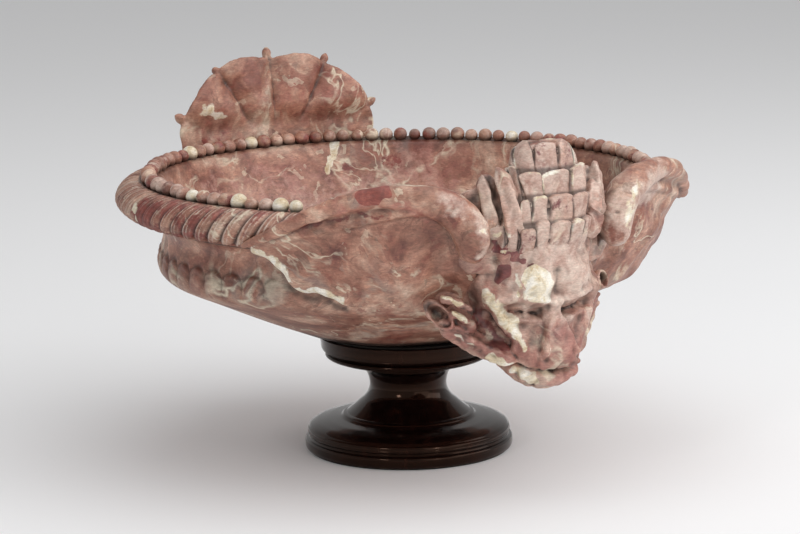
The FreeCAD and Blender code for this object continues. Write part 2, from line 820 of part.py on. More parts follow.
def mask_dowel_set(grow=0):
    height = bowl_base + belly_height
    solids = []
    for side in (-1, 1):
        reach = math.sqrt(belly_radius ** 2 - mask_dowel_spread ** 2)
        centre = FreeCAD.Vector(side * mask_dowel_spread, bowl_setback - reach, height)
        solids.append(dowel(centre, FreeCAD.Vector(0, 1, 0), mask_dowel_length + 2 * grow,
                            mask_dowel_diameter + 2 * grow))
    return solids


def wing_dowel_set(grow=0, sides=(-1, 1)):
    height = bowl_base + neck_height
    solids = []
    for side in sides:
        for share in wing_dowel_shares:
            angle = blend(wing_tip_angle, wing_root_angle, share)
            centre = polar(neck_radius, angle, height, side)
            way = polar(1, angle, 0, side) - bowl_axis
            solids.append(dowel(centre, way, wing_dowel_length + 2 * grow, dowel_diameter + 2 * grow))
    return solids


def fan_dowel_set(grow=0):
    solids = []
    depth = fan_front + fan_thickness / 2
    for side in (-1, 0, 1):
        across = side * fan_dowel_spread
        centre = FreeCAD.Vector(across, depth, ledge_z)
        solids.append(dowel(centre, up, fan_dowel_length + 2 * grow, dowel_diameter + 2 * grow))
    return solids


def make_all():
    """Every piece by its node name."""
    seat = make_seat_solid()
    mask = make_mask(seat)
    wing = make_wing(seat, [make_head()] + make_ears()[0])
    bores = []
    for dowels in (mask_dowel_set, wing_dowel_set, fan_dowel_set):
        bores += dowels(dowel_clearance)
    return {
        "foot_felt": make_foot_felt(),
        "socle_foot": make_socle_foot(),
        "socle_stem": make_socle_stem(),
        "socle_cap": make_socle_cap(),
        "seat_felt": make_seat_felt(),
        "centre_rod": make_centre_rod(),
        "rod_nuts": make_rod_nuts(),
        "rod_washers": make_rod_washers(),
        "bowl": make_bowl(bores),
        "mask": mask,
        "wing_right": wing,
        "wing_left": mirrored(wing),
        "tail_fan": make_tail_fan(seat),
        "mask_dowels": Part.makeCompound(mask_dowel_set()),
        "wing_dowels": Part.makeCompound(wing_dowel_set()),
        "fan_dowels": Part.makeCompound(fan_dowel_set()),
    }


os.makedirs("parts", exist_ok=True)
for name, shape in make_all().items():
    shape.exportStep(os.path.join("parts", name + ".step"))
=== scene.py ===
"""Carved red marble basin with a winged beast mask, lifting off a turned wood socle."""
import json
import logging
import math
from dataclasses import dataclass
from enum import Enum

import bpy
import numpy as np
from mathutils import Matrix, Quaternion, Vector


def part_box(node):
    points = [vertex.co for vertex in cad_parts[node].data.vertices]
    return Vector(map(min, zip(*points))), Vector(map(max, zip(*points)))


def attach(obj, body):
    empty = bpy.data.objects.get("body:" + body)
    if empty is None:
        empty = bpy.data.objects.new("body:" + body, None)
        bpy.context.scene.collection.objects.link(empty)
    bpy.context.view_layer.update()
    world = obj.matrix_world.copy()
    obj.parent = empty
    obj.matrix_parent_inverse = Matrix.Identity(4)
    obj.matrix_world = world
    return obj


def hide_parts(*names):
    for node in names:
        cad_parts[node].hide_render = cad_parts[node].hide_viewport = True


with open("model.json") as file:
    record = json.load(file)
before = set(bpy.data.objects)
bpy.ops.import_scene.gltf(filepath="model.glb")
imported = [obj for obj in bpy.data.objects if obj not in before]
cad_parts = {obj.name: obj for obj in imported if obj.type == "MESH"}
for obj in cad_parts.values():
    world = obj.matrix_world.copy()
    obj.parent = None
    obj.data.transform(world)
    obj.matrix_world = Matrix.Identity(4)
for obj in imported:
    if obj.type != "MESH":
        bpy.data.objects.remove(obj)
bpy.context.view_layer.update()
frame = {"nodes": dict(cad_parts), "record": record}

Stops = tuple[tuple[float, str], ...]
Knots = tuple[tuple[float, ...], ...]
Tree = bpy.types.NodeTree
Socket = bpy.types.NodeSocket

LOG = logging.getLogger("basin")
MM = 0.001
# Wear and ragged outlines are sums of waves; the divisor makes a sum about 1 high.
WAVE_COUNT = 24
WAVE_SPREAD = 4.0
WAVE_PHASE = 6.0
WAVE_DIVISOR = 3.5
WEAR_SEED = 11
# Painted patches wander off their lines by this way, in waves of this size, in millimetres.
RAGGED_SEEDS = (21, 22, 23)
RAGGED_SIZE = 9.0
RAGGED_WAY = 1.6
# Old grime and painted shade darken a vertex that lies below a narrow and below a wide neighbourhood.
NEAR_ROUNDS = 3
WIDE_ROUNDS = 30
DIRT_AND_SHADE_SHARE = 0.6
# Half the width of the steep edge of a flat stroke, in millimetres.
FLAT_EDGE = 1.5
# Settings of a node that lays one colour over another, or multiplies them.
OVER = {"data_type": "RGBA"}
TIMES = {"data_type": "RGBA", "blend_type": "MULTIPLY"}
# A direction that no path follows, from which tubes take their sides.
OFF_AXIS = (0.31, 0.17, 0.93)
# Samples for each knot of a curve that is looked up.
LOOKUP_SAMPLES = 40


class Body(Enum):
    """Bodies of the frame that pieces ride on."""

    SOCLE = "socle"
    BASIN = "basin"


class Side(Enum):
    """Side of the mask, as a sign along X."""

    LEFT = -1
    RIGHT = 1


def linear(code: str) -> tuple[float, float, float, float]:
    """Turn an sRGB hex colour into linear RGBA.

    Args:
        code: Six hex digits.

    Returns:
        Linear red, green, blue and an alpha of 1.
    """
    parts = [int(code[k:k + 2], 16) / 255 for k in (0, 2, 4)]
    flat = [p / 12.92 if p <= 0.04045 else ((p + 0.055) / 1.055) ** 2.4 for p in parts]
    return (*flat, 1.0)


def wire(tree: Tree, node: bpy.types.Node, inputs: dict) -> None:
    """Set sockets of a node to values, or link them from other sockets.

    Args:
        tree: Node tree of the material.
        node: The node.
        inputs: Socket name or number to a value, or to a socket to link from.
    """
    for key, value in inputs.items():
        if isinstance(value, Socket):
            tree.links.new(value, node.inputs[key])
        else:
            node.inputs[key].default_value = value


def add_node(tree: Tree, kind: str, inputs: dict | None = None, stops: Stops = (),
             **settings: object) -> bpy.types.Node:
    """Add a shader node with its settings and links.

    Args:
        tree: Node tree of the material.
        kind: Node type, as Blender names it after ShaderNode.
        inputs: Socket name or number to a value, or to a socket to link from.
        stops: Places and hex colours of a colour ramp.
        settings: Attributes of the node.

    Returns:
        The new node.
    """
    node = tree.nodes.new("ShaderNode" + kind)
    for name, value in settings.items():
        setattr(node, name, value)
    wire(tree, node, inputs or {})
    for index, (place, code) in enumerate(stops):
        ramp = node.color_ramp.elements
        element = ramp[index] if index < 2 else ramp.new(place)
        element.position = place
        element.color = linear(code)
    return node


def new_finish(name: str) -> tuple[bpy.types.Material, Tree, bpy.types.Node, Socket]:
    """Start a material.

    Args:
        name: Name of the real material.

    Returns:
        The material, its tree, its shader and the socket of Object coordinates.
    """
    made = bpy.data.materials.new(name)
    made.use_nodes = True
    tree = made.node_tree
    return made, tree, tree.nodes["Principled BSDF"], add_node(tree, "TexCoord").outputs["Object"]


def scale(size: float) -> float:
    """Scale of a texture whose features are so many millimetres wide."""
    return 1 / (size * MM)


def ease(low: float, high: float, value: np.ndarray) -> np.ndarray:
    """Smooth step from 0 at low to 1 at high."""
    share = np.clip((value - low) / (high - low), 0, 1)
    return share * share * (3 - 2 * share)


def bell(value: np.ndarray, width: float) -> np.ndarray:
    """Bell curve, 1 at zero and 1/e at the width."""
    return np.exp(-(value / width) ** 2)


def bells(value: np.ndarray, rows: Knots) -> np.ndarray:
    """Sum of bell curves, each given by its place, half-width and weight."""
    return sum(weight * bell(value - place, width) for place, width, weight in rows)


def bent(wave: np.ndarray, power: float) -> np.ndarray:
    """Wave raised to a power with its sign kept."""
    return np.sign(wave) * np.abs(wave) ** power


def curve(knots: Knots | np.ndarray, count: int) -> np.ndarray:
    """Smooth curve through knots.

    The points between two knots follow the cubic whose end slopes are half the
    step between the neighbouring knots.

    Args:
        knots: Rows of coordinates.
        count: Number of samples.

    Returns:
        Array of count rows, evenly spread over the knots.
    """
    rows = np.asarray(knots, float)
    padded = np.vstack([2 * rows[0] - rows[1], rows, 2 * rows[-1] - rows[-2]])
    place = np.linspace(0, len(rows) - 1, count)
    index = np.minimum(place.astype(int), len(rows) - 2)
    t = (place - index)[:, None]
    before, first, last, after = (padded[index + k] for k in range(4))
    slope_in, slope_out = (last - before) / 2, (after - first) / 2
    gap = last - first
    bend = 3 * gap - 2 * slope_in - slope_out
    return first + t * (slope_in + t * (bend + t * (slope_in + slope_out - 2 * gap)))


def evenly(points: np.ndarray, count: int) -> np.ndarray:
    """Resample a polyline at equal steps of its length."""
    steps = np.r_[0, np.cumsum(np.linalg.norm(np.diff(points, axis=0), axis=1))]
    places = np.linspace(0, steps[-1], count)
    return np.stack([np.interp(places, steps, points[:, k]) for k in range(points.shape[1])], axis=1)


def lookup(knots: Knots, at: np.ndarray) -> np.ndarray:
    """Value of a smooth curve of (place, value) knots at given places."""
    dense = curve(knots, LOOKUP_SAMPLES * len(knots))
    order = np.argsort(dense[:, 0])
    return np.interp(at, dense[order, 0], dense[order, 1])


def rounded(corners: Knots, radius: float, steps: int = 5) -> np.ndarray:
    """Polyline with each inner corner replaced by a parabola of the given reach."""
    points = np.asarray(corners, float)
    rows = [points[:1]]
    t = np.linspace(0, 1, steps)[:, None]
    for before, corner, after in zip(points, points[1:], points[2:]):
        reach = [min(radius, np.linalg.norm(end - corner) / 2) for end in (before, after)]
        start = corner + (before - corner) / np.linalg.norm(before - corner) * reach[0]
        stop = corner + (after - corner) / np.linalg.norm(after - corner) * reach[1]
        rows.append((1 - t) ** 2 * start + 2 * t * (1 - t) * corner + t ** 2 * stop)
    rows.append(points[-1:])
    return np.vstack(rows)


@dataclass
class Surface:
    """Grid of points that becomes part of a mesh.

    Attributes:
        points: Array of shape (u, v, 3), in metres.
        wrap_u: Whether the last row joins the first.
        wrap_v: Whether the last column joins the first.
        caps: Whether the first and last rows close to a point.
        flip: Whether the faces are turned over.
    """

    points: np.ndarray
    wrap_u: bool = False
    wrap_v: bool = True
    caps: bool = True
    flip: bool = False

    def arrays(self) -> tuple[np.ndarray, np.ndarray, np.ndarray]:
        """Vertices, quads and cap triangles of the grid."""
        nu, nv = self.points.shape[:2]
        verts = self.points.reshape(-1, 3)
        rows = np.arange(nu if self.wrap_u else nu - 1)
        cols = np.arange(nv if self.wrap_v else nv - 1)
        i, j = np.meshgrid(rows, cols, indexing="ij")
        i2, j2 = (i + 1) % nu, (j + 1) % nv
        quads = np.stack([i * nv + j, i * nv + j2, i2 * nv + j2, i2 * nv + j], axis=-1).reshape(-1, 4)
        tris = np.empty((0, 3), int)
        if self.caps and not self.wrap_u:
            ring = np.arange(nv)
            tip = np.vstack([self.points[0].mean(0), self.points[-1].mean(0)])
            first = np.stack([np.full(nv, len(verts)), (ring + 1) % nv, ring], axis=1)
            end = (nu - 1) * nv
            last = np.stack([np.full(nv, len(verts) + 1), end + ring, end + (ring + 1) % nv], axis=1)
            verts = np.vstack([verts, tip])
            tris = np.vstack([first, last])
        if self.flip:
            quads, tris = quads[:, ::-1], tris[:, ::-1]
        return verts, quads, tris


def make_piece(name: str, surfaces: list[Surface]) -> bpy.types.Object:
    """Mesh object made of one or more surfaces.

    Args:
        name: Name of the object.
        surfaces: Grids that are joined in one mesh.

    Returns:
        The object, linked to the scene and shaded smooth.
    """
    verts, quads, tris, base = [], [], [], 0
    for surface in surfaces:
        v, q, t = surface.arrays()
        verts.append(v)
        quads.append(q + base)
        tris.append(t + base)
        base += len(v)
    mesh = bpy.data.meshes.new(name)
    mesh.from_pydata(np.vstack(verts).tolist(), [], np.vstack(quads).tolist() + np.vstack(tris).tolist())
    mesh.polygons.foreach_set("use_smooth", np.ones(len(mesh.polygons), bool))
    mesh.update()
    piece = bpy.data.objects.new(name, mesh)
    bpy.context.scene.collection.objects.link(piece)
    return piece


def fuse(piece: bpy.types.Object, voxel: float, smoothing: int) -> None:
    """Join overlapping closed surfaces of a piece into one carved skin.

    Args:
        piece: Object whose mesh is replaced.
        voxel: Edge of the voxels, in metres.
        smoothing: Rounds of smoothing afterwards.
    """
    remesh = piece.modifiers.new("one_skin", "REMESH")
    remesh.mode = "VOXEL"
    remesh.voxel_size = voxel
    remesh.use_smooth_shade = True
    soften = piece.modifiers.new("soften", "SMOOTH")
    soften.factor = 0.5
    soften.iterations = smoothing
    graph = bpy.context.evaluated_depsgraph_get()
    graph.update()
    skin = bpy.data.meshes.new_from_object(piece.evaluated_get(graph))
    piece.modifiers.clear()
    rough, piece.data = piece.data, skin
    bpy.data.meshes.remove(rough)
    skin.name = piece.name


def vertices_of(mesh: bpy.types.Mesh, what: str = "co") -> np.ndarray:
    """Vertex positions or normals as an array of rows."""
    flat = np.empty(len(mesh.vertices) * 3, np.float32)
    mesh.vertices.foreach_get(what, flat)
    return flat.reshape(-1, 3).astype(float)


def put_attribute(mesh: bpy.types.Mesh, name: str, values: np.ndarray) -> None:
    """Store one number for each vertex, clipped to 0 and 1."""
    layer = mesh.attributes.new(name, "FLOAT", "POINT")
    layer.data.foreach_set("value", np.clip(values, 0, 1).astype(np.float32))


def recess(mesh: bpy.types.Mesh, rounds: int) -> np.ndarray:
    """How deep each vertex lies below its neighbourhood, in metres.

    The positions are averaged with their neighbours for some rounds. The recess
    is the way from a vertex to its average, measured along its normal.

    Args:
        mesh: Mesh to measure.
        rounds: Rounds of averaging, which set the width of the neighbourhood.

    Returns:
        One length for each vertex, positive in hollows.
    """
    edges = np.empty(len(mesh.edges) * 2, np.int32)
    mesh.edges.foreach_get("vertices", edges)
    a, b = edges.reshape(-1, 2).T
    place = vertices_of(mesh)
    count = np.maximum(np.bincount(np.r_[a, b], minlength=len(place)), 1)
    mean = place.copy()
    for _ in range(rounds):
        mean = np.stack([np.bincount(np.r_[a, b], np.r_[mean[b, k], mean[a, k]], len(place)) / count
                         for k in range(3)], axis=1)
    return ((mean - place) * vertices_of(mesh, "normal")).sum(1)


def waves(points: np.ndarray, seed: int, size: float) -> np.ndarray:
    """Sum of slanted waves at each point, about 1 high.

    Args:
        points: Rows of coordinates in millimetres.
        seed: Choice of the waves.
        size: Shortest wavelength in millimetres; the others are up to four times longer.

    Returns:
        One number for each point.
    """
    rng = np.random.default_rng(seed)
    total = np.zeros(len(points))
    for _ in range(WAVE_COUNT):
        way = rng.standard_normal(3)
        length = size * WAVE_SPREAD ** rng.random()
        along = points @ (way / np.linalg.norm(way)) * 2 * np.pi / length
        total += np.sin(along + WAVE_PHASE * rng.random())
    return total / WAVE_DIVISOR


def weather(piece: bpy.types.Object, depth: float, size: float) -> None:
    """Wear a piece unevenly: move each vertex along its normal by a sum of slanted waves.

    Args:
        piece: The piece.
        depth: Typical way in millimetres.
        size: Shortest wavelength in millimetres.
    """
    mesh = piece.data
    place, normal = vertices_of(mesh), vertices_of(mesh, "normal")
    place += normal * (waves(place / MM, WEAR_SEED, size) * depth * MM)[:, None]
    mesh.vertices.foreach_set("co", place.astype(np.float32).ravel())
    mesh.update()


def gap_to(points: np.ndarray, path: np.ndarray) -> np.ndarray:
    """Distance from each point to the nearest place of a polyline."""
    if len(path) == 1:
        return np.linalg.norm(points - path[0], axis=-1)
    best = np.full(points.shape[:-1], np.inf)
    for start, stop in zip(path, path[1:]):
        way = stop - start
        share = np.clip(((points - start) @ way) / (way @ way), 0, 1)
        best = np.minimum(best, np.linalg.norm(points - start - share[..., None] * way, axis=-1))
    return best


class Profile(Enum):
    """Cross-section of a carver's stroke."""

    BELL = "bell"
    FLAT = "flat"


@dataclass(frozen=True)
class Stroke:
    """One cut, swelling or patch along a line.

    Attributes:
        path: Points of the line, in millimetres.
        width: Half-width of the stroke, in millimetres.
        height: Height along the surface normal in millimetres, or strength of a patch.
        profile: Round, or flat with steep edges.
        both: Whether the stroke is repeated on the other side of the mask.
    """

    path: Knots
    width: float
    height: float
    profile: Profile = Profile.BELL
    both: bool = False

    def weight(self, points: np.ndarray) -> np.ndarray:
        """Weight of the stroke at each point, 1 on its line."""
        line = np.asarray(self.path, float)
        gap = gap_to(points, line)
        if self.both:
            line = line * np.r_[-1, np.ones(line.shape[1] - 1)]
            gap = np.minimum(gap, gap_to(points, line))
        if self.profile is Profile.FLAT:
            return ease(self.width + FLAT_EDGE, self.width - FLAT_EDGE, gap)
        return bell(gap, self.width)


Patches = dict[str, list[Stroke]]


def outward(points: np.ndarray) -> np.ndarray:
    """Unit normals of a grid whose columns wrap, from its two tangents, turned away from its middle."""
    along = np.gradient(points, axis=0)
    around = np.roll(points, -1, axis=1) - np.roll(points, 1, axis=1)
    normal = np.cross(around, along)
    normal /= np.maximum(np.linalg.norm(normal, axis=-1, keepdims=True), 1e-12)
    return normal * np.sign((normal * (points - points.mean((0, 1)))).sum(-1).mean())


def eggs(levels: Knots, count: int, around: int, powers: tuple[float, float]) -> tuple[np.ndarray, ...]:
    """Level egg-shaped sections, one above the other.

    Each section is half an oval before its middle and half another behind it. A
    power below 1 makes the oval squarer.

    Args:
        levels: Height, half-width, front, middle and back along Y, and middle along X of each level.
        count: Number of sections.
        around: Number of points of a section.
        powers: Exponents of the oval along X and Y.

    Returns:
        Points, unit normals, way round from the middle line and height, in millimetres.
    """
    height, half, front, middle, back, aside = curve(levels, count).T[:, :, None]
    turn = np.linspace(-np.pi, np.pi, around, endpoint=False)[None]
    reach = np.where(np.cos(turn) > 0, middle - front, back - middle)
    x = aside + half * bent(np.sin(turn), powers[0])
    y = middle - reach * bent(np.cos(turn), powers[1])
    height = height + 0 * turn
    points = np.stack([x, y, height], axis=-1)
    step = np.linalg.norm(np.diff(points, axis=1), axis=-1)
    way = np.concatenate([np.zeros((count, 1)), np.cumsum(step, axis=1)], axis=1)
    way += aside - way[:, [around // 2]]
    return points, outward(points), way, height


def tube(path: np.ndarray, radii: np.ndarray, around: int, flute: float = 0.0) -> Surface:
    """Round profile carried along a path, with its own radius at each place.

    Args:
        path: Points of the path.
        radii: Radius at each point.
        around: Number of points of the profile.
        flute: Depth of four flutes as a share of the radius.

    Returns:
        The closed surface.
    """
    way = np.gradient(path, axis=0)
    way /= np.linalg.norm(way, axis=1, keepdims=True)
    aside = np.cross(way, np.tile(OFF_AXIS, (len(path), 1)))
    aside /= np.linalg.norm(aside, axis=1, keepdims=True)
    over = np.cross(way, aside)
    turn = np.linspace(0, 2 * np.pi, around, endpoint=False)[None, :, None]
    ring = np.cos(turn) * aside[:, None] + np.sin(turn) * over[:, None]
    ring = ring * (1 - flute * np.abs(np.sin(2 * turn)))
    return Surface(path[:, None] + radii[:, None, None] * ring)


def lens(outer: np.ndarray, inner: np.ndarray, flip: bool) -> Surface:
    """Closed sheet that runs out over one face and home over the other."""
    return Surface(np.concatenate([outer, inner[:, -2:0:-1]], axis=1), flip=flip)


def slab(centre: np.ndarray, half: np.ndarray, lean: float, yaw: float, square: float) -> Surface:
    """Rounded block: a superellipsoid turned about X by lean and about Z by yaw.

    Args:
        centre: Middle of the block, in metres.
        half: Half-widths along X, Y and Z, in metres.
        lean: Turn about X, in degrees.
        yaw: Turn about Z, in degrees.
        square: Exponent, 1 for a ball and near 0 for a box.

    Returns:
        The closed surface.
    """
    rise = np.linspace(-np.pi / 2, np.pi / 2, 16)[1:-1, None]
    turn = np.linspace(-np.pi, np.pi, 28, endpoint=False)[None]
    x = half[0] * bent(np.cos(rise), square) * bent(np.cos(turn), square)
    y = half[1] * bent(np.cos(rise), square) * bent(np.sin(turn), square)
    z = half[2] * bent(np.sin(rise), square) * np.ones_like(turn)
    a, b = math.radians(lean), math.radians(yaw)
    y, z = y * math.cos(a) - z * math.sin(a), y * math.sin(a) + z * math.cos(a)
    x, y = x * math.cos(b) - y * math.sin(b), x * math.sin(b) + y * math.cos(b)
    return Surface(np.stack([x, y, z], axis=-1) + centre)


@dataclass(frozen=True)
class Marble:
    """Red breccia marble, carved and waxed: clouded rose stone with cream veins and a soft shine.

    The stone shows rose and mauve clouds a few centimetres wide, broken brick-red
    pieces, cream veins and grey seams. Hollows hold old grime, and the hollow
    attribute also paints shade into gaps, creases and undersides. The attributes
    hollow, pale, rosy, ruddy and cream on a mesh say where each shows.
    """

    name: str
    clouds: Stops
    # Sizes of the features, and ways by which noises bend and tear them, in millimetres.
    drift_mm: float = 90.0
    drift_way: float = 70.0
    cloud_mm: float = 46.0
    clast_mm: float = 38.0
    tear_mm: float = 12.0
    tear_way: float = 22.0
    fleck_mm: float = 8.0
    vein_mm: float = 150.0
    vein_bar: float = 0.53
    rag_mm: float = 14.0
    mottle_mm: float = 17.0
    grain_mm: float = 2.2
    wear_mm: float = 7.0
    # Strength from which a painted patch shows, and how much a noise breaks up its edge.
    patch_bar: float = 0.46
    patch_rag: float = 1.1
    pale_stops: Stops = ((0.34, "a98577"), (0.5, "cbb0a2"), (0.66, "e0cfc0"))
    cream_stops: Stops = ((0.32, "b89a70"), (0.45, "ddcfb2"), (0.6, "f1ece0"))
    ruddy_stops: Stops = ((0.34, "4f2426"), (0.5, "74383a"), (0.66, "93534a"))
    rosy_stops: Stops = ((0.34, "85493f"), (0.5, "a56558"), (0.66, "c08a7a"))
    cream_code: str = "e6d9c0"
    ruddy_code: str = "7c3f36"
    grey_code: str = "8f8880"
    line_code: str = "4a2d26"
    # Dark colour of old grime and of painted shade in hollows, gaps and undersides.
    dirt_and_shade_code: str = "2a1a14"
    roughness: float = 0.44

    def build(self) -> bpy.types.Material:
        """Make the material.

        Returns:
            The new material.
        """
        made, tree, shader, place = new_finish(self.name)
        drift = add_node(tree, "TexNoise", {"Vector": place, "Scale": scale(self.drift_mm), "Detail": 3.0})
        bed = add_node(tree, "VectorMath", {
            0: drift.outputs["Color"], 1: (self.drift_way * MM,) * 3, 2: place},
            operation="MULTIPLY_ADD").outputs[0]
        cloud = add_node(tree, "TexNoise", {
            "Vector": bed, "Scale": scale(self.cloud_mm), "Detail": 9.0, "Roughness": 0.64}).outputs["Fac"]
        tone = add_node(tree, "ValToRGB", {"Fac": cloud}, stops=self.clouds).outputs["Color"]
        tone = self._mottles(tree, place, tone)
        tone = self._clasts(tree, bed, tone)
        tone = self._veins(tree, bed, tone)
        tone = self._painted(tree, place, tone)
        tone = self._grain(tree, place, tone)
        # The hollow attribute darkens the stone towards a dark colour that stands for old grime and painted
        # shade.
        hollow = add_node(tree, "Attribute", attribute_name="hollow").outputs["Fac"]
        dirt_and_shade = add_node(tree, "Math", {0: hollow, 1: 0.95}, operation="MULTIPLY").outputs[0]
        tone = add_node(tree, "Mix", {0: dirt_and_shade, 6: tone, 7: linear(self.dirt_and_shade_code)}, **OVER).outputs[2]
        shine = add_node(tree, "MapRange", {
            "Value": cloud, "To Min": self.roughness - 0.1, "To Max": self.roughness + 0.14}).outputs[0]
        worn = add_node(tree, "TexNoise", {"Vector": place, "Scale": scale(self.wear_mm), "Detail": 6.0})
        bump = add_node(tree, "Bump", {
            "Height": worn.outputs["Fac"], "Strength": 0.35, "Distance": 1.0 * MM})
        wire(tree, shader, {
            "Base Color": tone, "Roughness": shine, "IOR": 1.5, "Normal": bump.outputs["Normal"]})
        return made

    def _mottles(self, tree: Tree, place: Socket, tone: Socket) -> Socket:
        """Mottling a centimetre wide and scratchy lines, both drawn out along the bed of the stone."""
        for size, low, high, drawn in ((22, 0.66, 1.3, (1.0, 1.0, 1.7)), (7, 0.74, 1.24, (1.0, 1.0, 2.4))):
            bed = add_node(tree, "Mapping", {"Vector": place, "Rotation": (0.3, 0.2, 0.4), "Scale": drawn})
            spots = add_node(tree, "TexNoise", {
                "Vector": bed.outputs[0], "Scale": scale(size), "Detail": 7.0, "Roughness": 0.68,
                "Distortion": 0.7})
            light = add_node(tree, "MapRange", {
                "Value": spots.outputs["Fac"], "From Min": 0.3, "From Max": 0.7,
                "To Min": low, "To Max": high})
            tone = add_node(tree, "Mix", {0: 0.8, 6: tone, 7: light.outputs[0]}, **TIMES).outputs[2]
        return tone

    def _clasts(self, tree: Tree, bed: Socket, tone: Socket) -> Socket:
        """Broken pieces: Voronoi cells with shades of their own, some of them brick red, and flecks."""
        rough = add_node(tree, "TexNoise", {"Vector": bed, "Scale": scale(self.tear_mm), "Detail": 5.0})
        torn = add_node(tree, "VectorMath", {
            0: rough.outputs["Color"], 1: (self.tear_way * MM,) * 3, 2: bed},
            operation="MULTIPLY_ADD").outputs[0]
        cell = add_node(tree, "TexVoronoi", {"Vector": torn, "Scale": scale(self.clast_mm)})
        parts = add_node(tree, "SeparateColor", {0: cell.outputs["Color"]})
        shade = add_node(tree, "MapRange", {"Value": parts.outputs[0], "To Min": 0.76, "To Max": 1.2})
        tone = add_node(tree, "Mix", {0: 0.5, 6: tone, 7: shade.outputs[0]}, **TIMES).outputs[2]
        red = add_node(tree, "MapRange", {
            "Value": parts.outputs[1], "From Min": 0.84, "From Max": 0.88, "To Max": 0.4}).outputs[0]
        tone = add_node(tree, "Mix", {0: red, 6: tone, 7: linear(self.ruddy_code)}, **OVER).outputs[2]
        fleck = add_node(tree, "TexVoronoi", {"Vector": torn, "Scale": scale(self.fleck_mm)})
        kinds = add_node(tree, "SeparateColor", {0: fleck.outputs["Color"]})
        flecks = ((self.cream_code, 0.985, 0.4),
                  (self.ruddy_code, 0.95, 0.45),
                  (self.line_code, 0.975, 0.35))
        for channel, (code, bar, top) in enumerate(flecks):
            share = add_node(tree, "MapRange", {
                "Value": kinds.outputs[channel], "From Min": bar - 0.02, "From Max": bar, "To Max": top})
            tone = add_node(tree, "Mix", {0: share.outputs[0], 6: tone, 7: linear(code)}, **OVER).outputs[2]
        return tone

    def _veins(self, tree: Tree, bed: Socket, tone: Socket) -> Socket:
        """Veins lie where a slow noise crosses its middle value and a second noise lets them."""
        for share, width, code, bar, top in ((1.0, 0.022, self.cream_code, 0.56, 0.85),
                                             (0.6, 0.014, self.cream_code, self.vein_bar, 0.75),
                                             (0.26, 0.05, self.cream_code, 0.6, 0.65),
                                             (0.5, 0.06, self.grey_code, 0.58, 0.4),
                                             (0.3, 0.012, self.line_code, 0.5, 0.4)):
            size = self.vein_mm * share
            wave = add_node(tree, "TexNoise", {
                "Vector": bed, "Scale": scale(size), "Detail": 4.0, "Roughness": 0.55, "Distortion": 0.4})
            off = add_node(tree, "Math", {0: wave.outputs["Fac"], 1: 0.5}, operation="SUBTRACT")
            away = add_node(tree, "Math", {0: off.outputs[0]}, operation="ABSOLUTE")
            line = add_node(tree, "MapRange", {
                "Value": away.outputs[0], "From Max": width, "To Min": top, "To Max": 0.0},
                interpolation_type="SMOOTHSTEP")
            gate = add_node(tree, "TexNoise", {
                "Vector": bed, "Scale": scale(size * 1.3), "Detail": 2.0, "Roughness": 0.5})
            let = add_node(tree, "MapRange", {
                "Value": gate.outputs["Fac"], "From Min": bar, "From Max": bar + 0.08})
            seen = add_node(tree, "Math", {0: line.outputs[0], 1: let.outputs[0]}, operation="MULTIPLY")
            tone = add_node(tree, "Mix", {0: seen.outputs[0], 6: tone, 7: linear(code)}, **OVER).outputs[2]
        return tone

    def _painted(self, tree: Tree, place: Socket, tone: Socket) -> Socket:
        """Patches that the mesh's attributes place, with edges broken up by a noise."""
        rag = add_node(tree, "TexNoise", {
            "Vector": place, "Scale": scale(self.rag_mm), "Detail": 6.0, "Roughness": 0.65})
        mottle = add_node(tree, "TexNoise", {
            "Vector": place, "Scale": scale(self.mottle_mm), "Detail": 8.0, "Roughness": 0.7,
            "Distortion": 0.8})
        ragged = add_node(tree, "Math", {0: rag.outputs["Fac"], 1: 0.5}, operation="SUBTRACT")
        for name, stops, top, soft in (("pale", self.pale_stops, 0.8, 0.16),
                                       ("rosy", self.rosy_stops, 0.8, 0.2),
                                       ("ruddy", self.ruddy_stops, 0.9, 0.06),
                                       ("cream", self.cream_stops, 0.95, 0.08)):
            layer = add_node(tree, "Attribute", attribute_name=name).outputs["Fac"]
            edge = add_node(tree, "Math", {0: ragged.outputs[0], 1: self.patch_rag, 2: layer},
                            operation="MULTIPLY_ADD")
            share = add_node(tree, "MapRange", {
                "Value": edge.outputs[0], "From Min": self.patch_bar - soft,
                "From Max": self.patch_bar + soft, "To Max": top},
                interpolation_type="SMOOTHSTEP").outputs[0]
            patch = add_node(tree, "ValToRGB", {"Fac": mottle.outputs["Fac"]}, stops=stops).outputs["Color"]
            tone = add_node(tree, "Mix", {0: share, 6: tone, 7: patch}, **OVER).outputs[2]
        return tone

    def _grain(self, tree: Tree, place: Socket, tone: Socket) -> Socket:
        """Fine grain and pits, drawn a little coarser than the real grain so that they show."""
        drawn = add_node(tree, "Mapping", {
            "Vector": place, "Rotation": (0.25, 0.1, 0.0), "Scale": (0.55, 0.55, 1.5)}).outputs[0]
        speck = add_node(tree, "TexNoise", {
            "Vector": drawn, "Scale": scale(self.grain_mm), "Detail": 5.0, "Roughness": 0.7})
        light = add_node(tree, "MapRange", {
            "Value": speck.outputs["Fac"], "From Min": 0.25, "From Max": 0.75,
            "To Min": 0.7, "To Max": 1.26})
        return add_node(tree, "Mix", {0: 1.0, 6: tone, 7: light.outputs[0]}, **TIMES).outputs[2]


